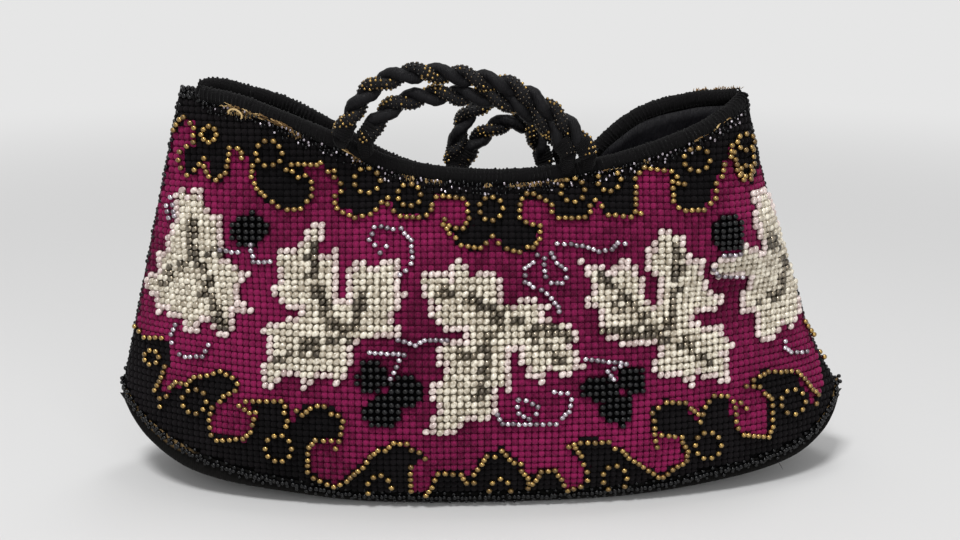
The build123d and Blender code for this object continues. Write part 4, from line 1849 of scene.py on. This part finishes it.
@dataclass
class Edgings:
    """The jet bead edgings over the side seams and along the base seams.

    Args:
        form: The bag's shape.
        wardrobe: The finishes.
    """

    form: BagForm
    wardrobe: Wardrobe
    bead: float = 2.0
    bead_sizes: Span = (0.82, 1.05)
    pitch: float = 1.75
    row_gap: float = 1.5
    middle_lift: float = 0.35
    side_lift: float = -0.15
    stray: float = 0.2
    inset: float = 0.9
    seam_steps: int = 60
    seam_end: float = 1.5
    seam_top: float = 2.0
    foot_steps: int = 120
    foot_end: float = 0.8
    foot_out: float = 0.9
    crown_rows: int = 3
    crown_columns: int = 6
    hair_x: float = 110.0

    def string(self, line: list[tuple[Vector, Vector, Vector]], draw: random.Random) -> list[Place]:
        """Beads along a seam in three rows that lean in turn to either side.

        Args:
            line: Points of the seam, each with the direction across it and out of it.
            draw: The source of small differences.

        Returns:
            The beads' places.
        """
        places = []
        run, due, turn = 0.0, 0.0, 0
        for (a, across, out), (b, _, _) in zip(line, line[1:]):
            gap = (b - a).length
            while due <= run + gap:
                t = (due - run) / gap
                at = a.lerp(b, t)
                for row in (-1, 0, 1):
                    if row != 0 and turn % 2 == (row > 0):
                        continue
                    size = self.bead * draw.uniform(*self.bead_sizes) * (0.86 if row else 1.0)
                    lift = self.side_lift if row else self.middle_lift
                    stray = Vector([draw.gauss(0, self.stray) for _ in range(3)])
                    place = at + across * row * self.row_gap + out * lift + stray
                    places.append(Place(place, (out, across, out.cross(across)), (size, size, size),
                                        draw.random()))
                turn += 1
                due += self.pitch * draw.uniform(0.85, 1.1)
            run += gap
        return places

    def seam(self, side: int) -> list[tuple[Vector, Vector, Vector]]:
        """Points down one side seam.

        Args:
            side: -1 on the left, 1 on the right.

        Returns:
            Points, each with the directions across and out.
        """
        low = self.form.left_corner_z if side < 0 else self.form.right_corner_z
        high = (self.form.left_top if side < 0 else self.form.right_top)[1] - self.seam_top
        found = []
        for i in range(self.seam_steps + 1):
            z = low + self.seam_end + (high - low - self.seam_end) * i / self.seam_steps
            at = Vector((self.form.seam_x(z, side) - side * self.inset, 0, z))
            found.append((at, Vector((0, 1, 0)), Vector((side, 0, 0))))
        return found

    def foot(self, side: Side) -> list[tuple[Vector, Vector, Vector]]:
        """Points along one seam between a panel and the base.

        Args:
            side: The face.

        Returns:
            Points, each with the directions across and out.
        """
        found = []
        for i in range(self.foot_steps + 1):
            s = math.sin((2 * i / self.foot_steps - 1) * math.pi / 2)
            x = s * (self.form.half_width - self.foot_end)
            z = self.form.foot_z(x)
            at = Vector((x, side.value * (self.form.depth(x, z, side) + self.foot_out), z))
            found.append((at, Vector((0, 0, 1)), Vector((0, side.value, 0))))
        return found

    def crown(self, draw: random.Random) -> list[Place]:
        """The cluster of beads over the left top corner, beside the end of the binding.

        Args:
            draw: The random source.

        Returns:
            The beads' places.
        """
        places = []
        for row in range(self.crown_rows):
            for i in range(self.crown_columns):
                x = self.form.left_top[0] + 1.0 + i * 1.5 + draw.gauss(0, 0.3)
                z = self.form.front_rim.at(x) - 1.4 - row * 1.6 + draw.gauss(0, 0.3)
                size = self.bead * draw.uniform(0.8, 1.05)
                depth = self.form.depth(x, z, Side.FRONT)
                at = Vector((x, -max(depth, 0.4) - 0.6 + draw.gauss(0, 0.2), z))
                axes = (Vector((1, 0, 0)), Vector((0, 1, 0)), Vector((0, 0, 1)))
                places.append(Place(at, axes, (size, size, size), draw.random()))
        return places

    def loose_hair(self) -> bpy.types.Object:
        """The short black thread end that hangs from the base seam near the right end.

        Returns:
            The piece.
        """
        x = self.hair_x
        z = self.form.foot_z(x) - 1.0
        top = Vector((x, -self.form.depth(x, z, Side.FRONT) - 1.0, z))
        points = [top, top + Vector((1.0, -0.8, -1.6)), top + Vector((2.0, -1.4, -3.1)),
                  top + Vector((2.8, -1.8, -4.6))]
        return tube("loose_hair", points, [0.12, 0.12, 0.11, 0.07], 5)

    def build(self) -> None:
        """Makes the four edgings."""
        draw = random.Random(51)
        bead = Template.bead(8, 5)
        for side, word in ((-1, "left"), (1, "right")):
            places = self.string(self.seam(side), draw) + (self.crown(draw) if side < 0 else [])
            piece = bead.scatter(f"{word}_seam_beads", places)
            dress(piece, self.wardrobe.jet, "jet_beads", f"{word}_seam_edging")
        for face in Side:
            piece = bead.scatter(f"{face.word}_foot_beads", self.string(self.foot(face), draw))
            dress(piece, self.wardrobe.jet, "jet_beads", f"{face.word}_bottom_edging")
        dress(self.loose_hair(), self.wardrobe.binding, "jet_beads")


@dataclass(frozen=True)
class Cord:
    """One twisted cord of a handle, by its route as seen from the front.

    Args:
        name: The piece's name.
        node: The solid that it stands for.
        heights: Place along the bag and height above the sewn ends.
        shift: How far its middle is set to the outside.
        start: Angle of the beaded ply at its left end.
    """

    name: str
    node: str
    heights: tuple[Spot, ...]
    shift: float
    start: float


@dataclass
class Handle:
    """One handle: a pair of cords, each of a satin ply and a beaded ply twisted together.

    Args:
        body: The body that carries it.
        side: The face on which it stands.
        left: A point at the left of the line through its sewn ends, about which it swings.
        right: A point at the right of the same line.
        lean: Lean to the outside for each unit of height.
        cords: The two cords.
        wardrobe: The finishes.
        form: The bag's shape.
    """

    body: str
    side: Side
    left: Vector
    right: Vector
    lean: float
    cords: tuple[Cord, ...]
    wardrobe: Wardrobe
    form: BagForm
    diameter: float = 5.5
    resolution: int = 12
    sides: int = 12
    ply: float = 2.1
    offset: float = 1.65
    twist_pitch: float = 17.0
    ply_points: int = 20
    bead: float = 1.0
    bead_pitch: float = 1.4
    bead_sizes: Span = (0.85, 1.1)
    ring_points: int = 48
    beads_around: int = 9
    hidden: float = -0.15
    cluster_turns: float = 34.0
    cluster_from: float = 0.15
    gold_shares: Span = (0.62, 0.07)
    foot_length: float = 7.0
    foot_radius: float = 3.5
    foot_taper: float = 0.16
    foot_thread: float = 0.55
    roll_drop: float = 2.4
    roll_in: float = 1.1
    pad_radius: float = 2.6
    pad_steps: int = 12
    pad_tip: Span = (0.5, 0.9)
    pad_tip_shares: Span = (0.85, 0.45)
    pad_thread: float = 0.5
    thread_sides: int = 5
    thread_sizes: Span = (0.8, 1.2)
    winding_pitch: float = 1.1
    winding_points: int = 12

    def route(self, cord: Cord) -> list[Vector]:
        """The cord's route points, as the solid has them.

        Args:
            cord: The cord.

        Returns:
            The points.
        """
        along = self.right - self.left
        last = len(cord.heights) - 1
        points = []
        for i, (x, height) in enumerate(cord.heights):
            base = self.left + along * ((x - self.left.x) / along.x)
            out = height * self.lean + cord.shift * min(i, last - i, 2) / 2
            points.append(Vector((x, base.y + self.side.value * out, base.z + height)))
        return points

    def spline(self, cord: Cord) -> list[Vector]:
        """Points read from the smooth spline that the route controls, in millimetres.

        Args:
            cord: The cord.

        Returns:
            The points.
        """
        data = bpy.data.curves.new(cord.name, "CURVE")
        data.dimensions = "3D"
        data.resolution_u = self.resolution
        line = data.splines.new("NURBS")
        points = self.route(cord)
        line.points.add(len(points) - 1)
        for point, at in zip(line.points, points):
            point.co = (*(at * MM), 1.0)
        line.order_u = 3
        line.use_endpoint_u = True
        curve = bpy.data.objects.new(cord.name, data)
        mesh = bpy.data.meshes.new_from_object(curve)
        found = [v.co / MM for v in mesh.vertices]
        bpy.data.meshes.remove(mesh)
        bpy.data.objects.remove(curve)
        bpy.data.curves.remove(data)
        return found

    def build(self) -> None:
        """Makes both cords."""
        draw = random.Random(71 if self.side is Side.FRONT else 72)
        for cord in self.cords:
            path = self.spline(cord)
            length = sum((b - a).length for a, b in zip(path, path[1:]))
            plies = []
            for i, start in enumerate((cord.start, cord.start + math.pi)):
                wound = [at for at, _ in helix(path, self.offset, self.twist_pitch, start, self.ply_points)]
                ends = [min(1.0, 0.7 + 0.1 * min(n, len(wound) - 1 - n)) for n in range(len(wound))]
                swell = [1 + 0.07 * math.sin(n * 0.9 + 3 * i) + 0.05 * math.sin(n * 2.3 + i)
                         for n in range(len(wound))]
                radii = [self.ply * end * size for end, size in zip(ends, swell)]
                plies.append(tube(f"{cord.name}_ply_{i}", wound, radii, self.sides, 0.5))
            rope = join(cord.name, plies)
            dress(rope, self.wardrobe.cord, "handle_cord", cord.node, body=self.body)
            gold, dark = self.beads(cord, path, draw)
            pieces = [self.sewn_ends(cord, path, draw)]
            self.build_pads(cord, path, draw)
            wear = self.wardrobe
            for word, places, material in (("gold", gold, wear.gold), ("dark", dark, wear.bronze)):
                piece = Template.bead(6, 4).scatter(f"{cord.name}_{word}_beads", places)
                dress(piece, material, "handle_cord", body=self.body)
                pieces.append(piece)

    def winding(self, path: list[Vector], radius: float, start: float) -> list[Vector]:
        """Points of a thread wound closely round a short path."""
        return [at for at, _ in helix(path, radius, self.winding_pitch, start, self.winding_points)]

    def build_pads(self, cord: Cord, path: list[Vector], draw: random.Random) -> None:
        """The thread that holds both ends of a cord to the rolled binding, still on the bag at every pose.

        Args:
            cord: The cord.
            path: Its middle line.
            draw: The random source.
        """
        made = []
        for n, end in enumerate((path[0], path[-1])):
            z = self.form.rim_z(end.x, self.side) - self.roll_drop
            depth = self.form.depth(end.x, z, self.side) - self.roll_in
            roll = Vector((end.x, self.side.value * depth, z))
            shaft = [roll.lerp(end, i / self.pad_steps) for i in range(self.pad_steps + 1)]
            line = shaft + [end + (end - roll).normalized() * step for step in self.pad_tip]
            radii = [self.pad_radius * size for size in (*[1.0] * len(shaft), *self.pad_tip_shares)]
            made.append(tube("pad", line, radii, self.sides))
            wound = self.winding(shaft, self.pad_radius - 0.2, n)
            widths = [self.pad_thread * draw.uniform(*self.thread_sizes) for _ in wound]
            made.append(tube("pad_winding", wound, widths, self.thread_sides))
        dress(join(f"{cord.name}_sewn_pads", made), self.wardrobe.binding, "binding_wool")

    def sewn_ends(self, cord: Cord, path: list[Vector], draw: random.Random) -> bpy.types.Object:
        """The thread wound round both ends of a cord where it is sewn to the binding.

        Args:
            cord: The cord.
            path: Its middle line.
            draw: The random source.

        Returns:
            The piece.
        """
        made = []
        for n, way in enumerate((path, path[::-1])):
            run, near = 0.0, [way[0]]
            for a, b in zip(way, way[1:]):
                run += (b - a).length
                if run > self.foot_length:
                    break
                near.append(b)
            wound = self.winding(near, self.foot_radius - 0.3, n)
            radii = [self.foot_thread * draw.uniform(*self.thread_sizes) for _ in wound]
            made.append(tube(f"{cord.name}_winding_{n}", wound, radii, self.thread_sides))
            radii = [self.foot_radius * (1.0 - self.foot_taper * i / len(near)) for i in range(len(near))]
            made.append(tube(f"{cord.name}_foot_{n}", near, radii, self.sides))
        piece = join(f"{cord.name}_sewn_ends", made)
        dress(piece, self.wardrobe.binding, "handle_cord", body=self.body)
        return piece

    def beads(self, cord: Cord, path: list[Vector], draw: random.Random) -> tuple[list[Place], list[Place]]:
        """The rows of small beads round the cord's second ply.

        Args:
            cord: The cord.
            path: Its middle line.
            draw: The source of small differences.

        Returns:
            The gold beads and the dark beads.
        """
        wound = helix(path, self.offset, self.twist_pitch, cord.start + math.pi, self.ring_points)
        line = [at for at, _ in wound]
        strand = helix(line, self.ply + 0.02, self.bead_pitch, 0.0, self.beads_around)
        gold, dark = [], []
        for n, (at, out) in enumerate(strand):
            share = n / len(strand)
            middle = wound[min(int(share * len(wound)), len(wound) - 1)]
            if out.dot(middle[1]) < self.hidden:
                continue
            clustered = math.sin(share * self.cluster_turns + cord.start) > self.cluster_from
            golden = draw.random() < self.gold_shares[0 if clustered else 1]
            size = self.bead * draw.uniform(*self.bead_sizes) * (1.2 if golden else 0.95)
            side = out.orthogonal().normalized()
            place = Place(at, (side, out.cross(side), out), (size, size, size), draw.random())
            (gold if golden else dark).append(place)
        return gold, dark


@dataclass(frozen=True)
class Lamp:
    """A soft square lamp that looks at the bag, in metres and watts."""

    name: str
    at: tuple[float, float, float]
    size: float
    power: float
    aim: tuple[float, float, float] = (0.0, 0.0, 0.06)

    def build(self) -> None:
        """Makes the lamp."""
        data = bpy.data.lights.new(self.name, "AREA")
        data.size = self.size
        data.energy = self.power
        lamp = bpy.data.objects.new(self.name, data)
        lamp.location = self.at
        lamp.rotation_euler = (Vector(self.aim) - Vector(self.at)).to_track_quat("-Z", "Y").to_euler()
        bpy.context.scene.collection.objects.link(lamp)


@dataclass
class Studio:
    """The pale floor, the even sky and the soft lamps. Lengths are metres."""

    floor_size: float = 16.0
    pale: Paint = srgb(230, 230, 230)
    paper: Paint = srgb(216, 216, 216)
    near: float = 0.3
    far: float = 1.1
    sky_strength: float = 0.45
    lamps: tuple[Lamp, ...] = (
        Lamp("key", (-0.26, -0.6, 1.4), 0.34, 12.8), Lamp("fill", (0.4, -1.3, 0.5), 0.9, 5.5),
        Lamp("top", (0.2, 0.3, 1.4), 0.4, 3.0))

    def build(self) -> None:
        """Makes the studio."""
        bm = bmesh.new()
        bmesh.ops.create_grid(bm, x_segments=1, y_segments=1, size=self.floor_size / 2)
        floor = settle("floor", bm, smooth=False)
        floor.data.materials.append(self.floor_finish())
        self.build_sky()
        for lamp in self.lamps:
            lamp.build()

    def floor_finish(self) -> Material:
        """Matt pale paper by the bag, which keeps its shadow, and an even backdrop farther away.

        Returns:
            The material.
        """
        recipe = Recipe("pale_paper", {"Base Color": (*self.paper, 1.0), "Roughness": 0.95,
                                       "Specular IOR Level": 0.0})
        at = recipe.node("ShaderNodeTexCoord", {}, {}).outputs["Object"]
        away = recipe.node("ShaderNodeVectorMath", {"operation": "LENGTH"}, {0: at}).outputs["Value"]
        even = recipe.node("ShaderNodeEmission", {}, {"Color": self.pale, "Strength": 1.0})
        mix = recipe.node("ShaderNodeMixShader", {}, {0: Value(recipe, away).above(self.near, self.far),
                                                     1: recipe.shader.outputs[0], 2: even.outputs[0]})
        recipe.tree.links.new(mix.outputs[0], recipe.out.inputs["Surface"])
        return recipe.material

    def build_sky(self) -> None:
        """The even light from all round, seen by the camera, metal and glass as the backdrop."""
        world = bpy.data.worlds.new("studio")
        world.use_nodes = True
        bpy.context.scene.world = world
        tree = world.node_tree
        tree.nodes.clear()
        path = tree.nodes.new("ShaderNodeLightPath")
        lit = tree.nodes.new("ShaderNodeBackground")
        lit.inputs["Color"].default_value = (1.0, 1.0, 1.0, 1.0)
        lit.inputs["Strength"].default_value = self.sky_strength
        seen = tree.nodes.new("ShaderNodeBackground")
        seen.inputs["Color"].default_value = (*self.pale, 1.0)
        either = path.outputs["Is Camera Ray"]
        for name in ("Is Glossy Ray", "Is Transmission Ray"):
            most = tree.nodes.new("ShaderNodeMath")
            most.operation = "MAXIMUM"
            tree.links.new(either, most.inputs[0])
            tree.links.new(path.outputs[name], most.inputs[1])
            either = most.outputs[0]
        mix = tree.nodes.new("ShaderNodeMixShader")
        out = tree.nodes.new("ShaderNodeOutputWorld")
        tree.links.new(either, mix.inputs[0])
        tree.links.new(lit.outputs[0], mix.inputs[1])
        tree.links.new(seen.outputs[0], mix.inputs[2])
        tree.links.new(mix.outputs[0], out.inputs["Surface"])


def make_handles(wardrobe: Wardrobe, form: BagForm) -> list[Handle]:
    """The two handles, with their routes as seen from the front.

    Args:
        wardrobe: The finishes.
        form: The bag's shape.

    Returns:
        The front handle and the rear one.
    """
    front = (
        Cord("front_outer_rope", "front_handle_outer_cord",
             ((-52.5, 0), (-47.5, 11), (-38, 21.5), (-23, 25.5), (-6, 24.5), (9, 22.5), (19.5, 16.5),
              (30, 9.5), (36.5, 0)), 0.0, 0.4),
        Cord("front_inner_rope", "front_handle_inner_cord",
             ((-44, 0), (-39, 8), (-30, 15), (-18, 17.5), (-6, 18), (6, 17.5), (15.5, 13.5), (24.5, 7),
              (29, 0)), -1.0, 2.4))
    rear = (
        Cord("rear_outer_rope", "rear_handle_outer_cord",
             ((-12, 0), (-10.5, 9.5), (-7.5, 18), (-0.5, 24), (9, 25.5), (19, 21.5), (27.5, 12),
              (31.5, 0)), 0.0, 1.2),
        Cord("rear_inner_rope", "rear_handle_inner_cord",
             ((-9, 0), (-5, 6.5), (1, 12.5), (8.5, 16.5), (16, 15.5), (21, 9), (23.5, 0)), 0.4, 3.0))
    front_ends = (Vector((-55.0, -15.4075, 133.8684)), Vector((38.0, -16.0411, 126.7101)))
    rear_ends = (Vector((-17.5, 12.8956, 118.6802)), Vector((32.0, 16.4642, 117.5612)))
    return [Handle("front_handle", Side.FRONT, *front_ends, 0.05, front, wardrobe, form),
            Handle("rear_handle", Side.BACK, *rear_ends, -0.12, rear, wardrobe, form)]


def main() -> None:
    """Builds the handbag round its solids, with its studio and camera."""
    logging.basicConfig(level=logging.INFO, format="%(name)s: %(message)s")
    scene = bpy.context.scene
    scene.view_settings.view_transform = "Standard"
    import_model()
    form, view, wardrobe = BagForm(), PhotoView(), Wardrobe()
    view.build()
    Studio().build()
    for handle in make_handles(wardrobe, form):
        handle.build()
    canvas = Canvas(form, view, Pattern())
    for side in Side:
        Panel(canvas, side, wardrobe).build()
        Rim(form, side, wardrobe).build()
    BaseAndLining(form, wardrobe).build()
    Edgings(form, wardrobe).build()


if __name__ == "__main__":
    main()
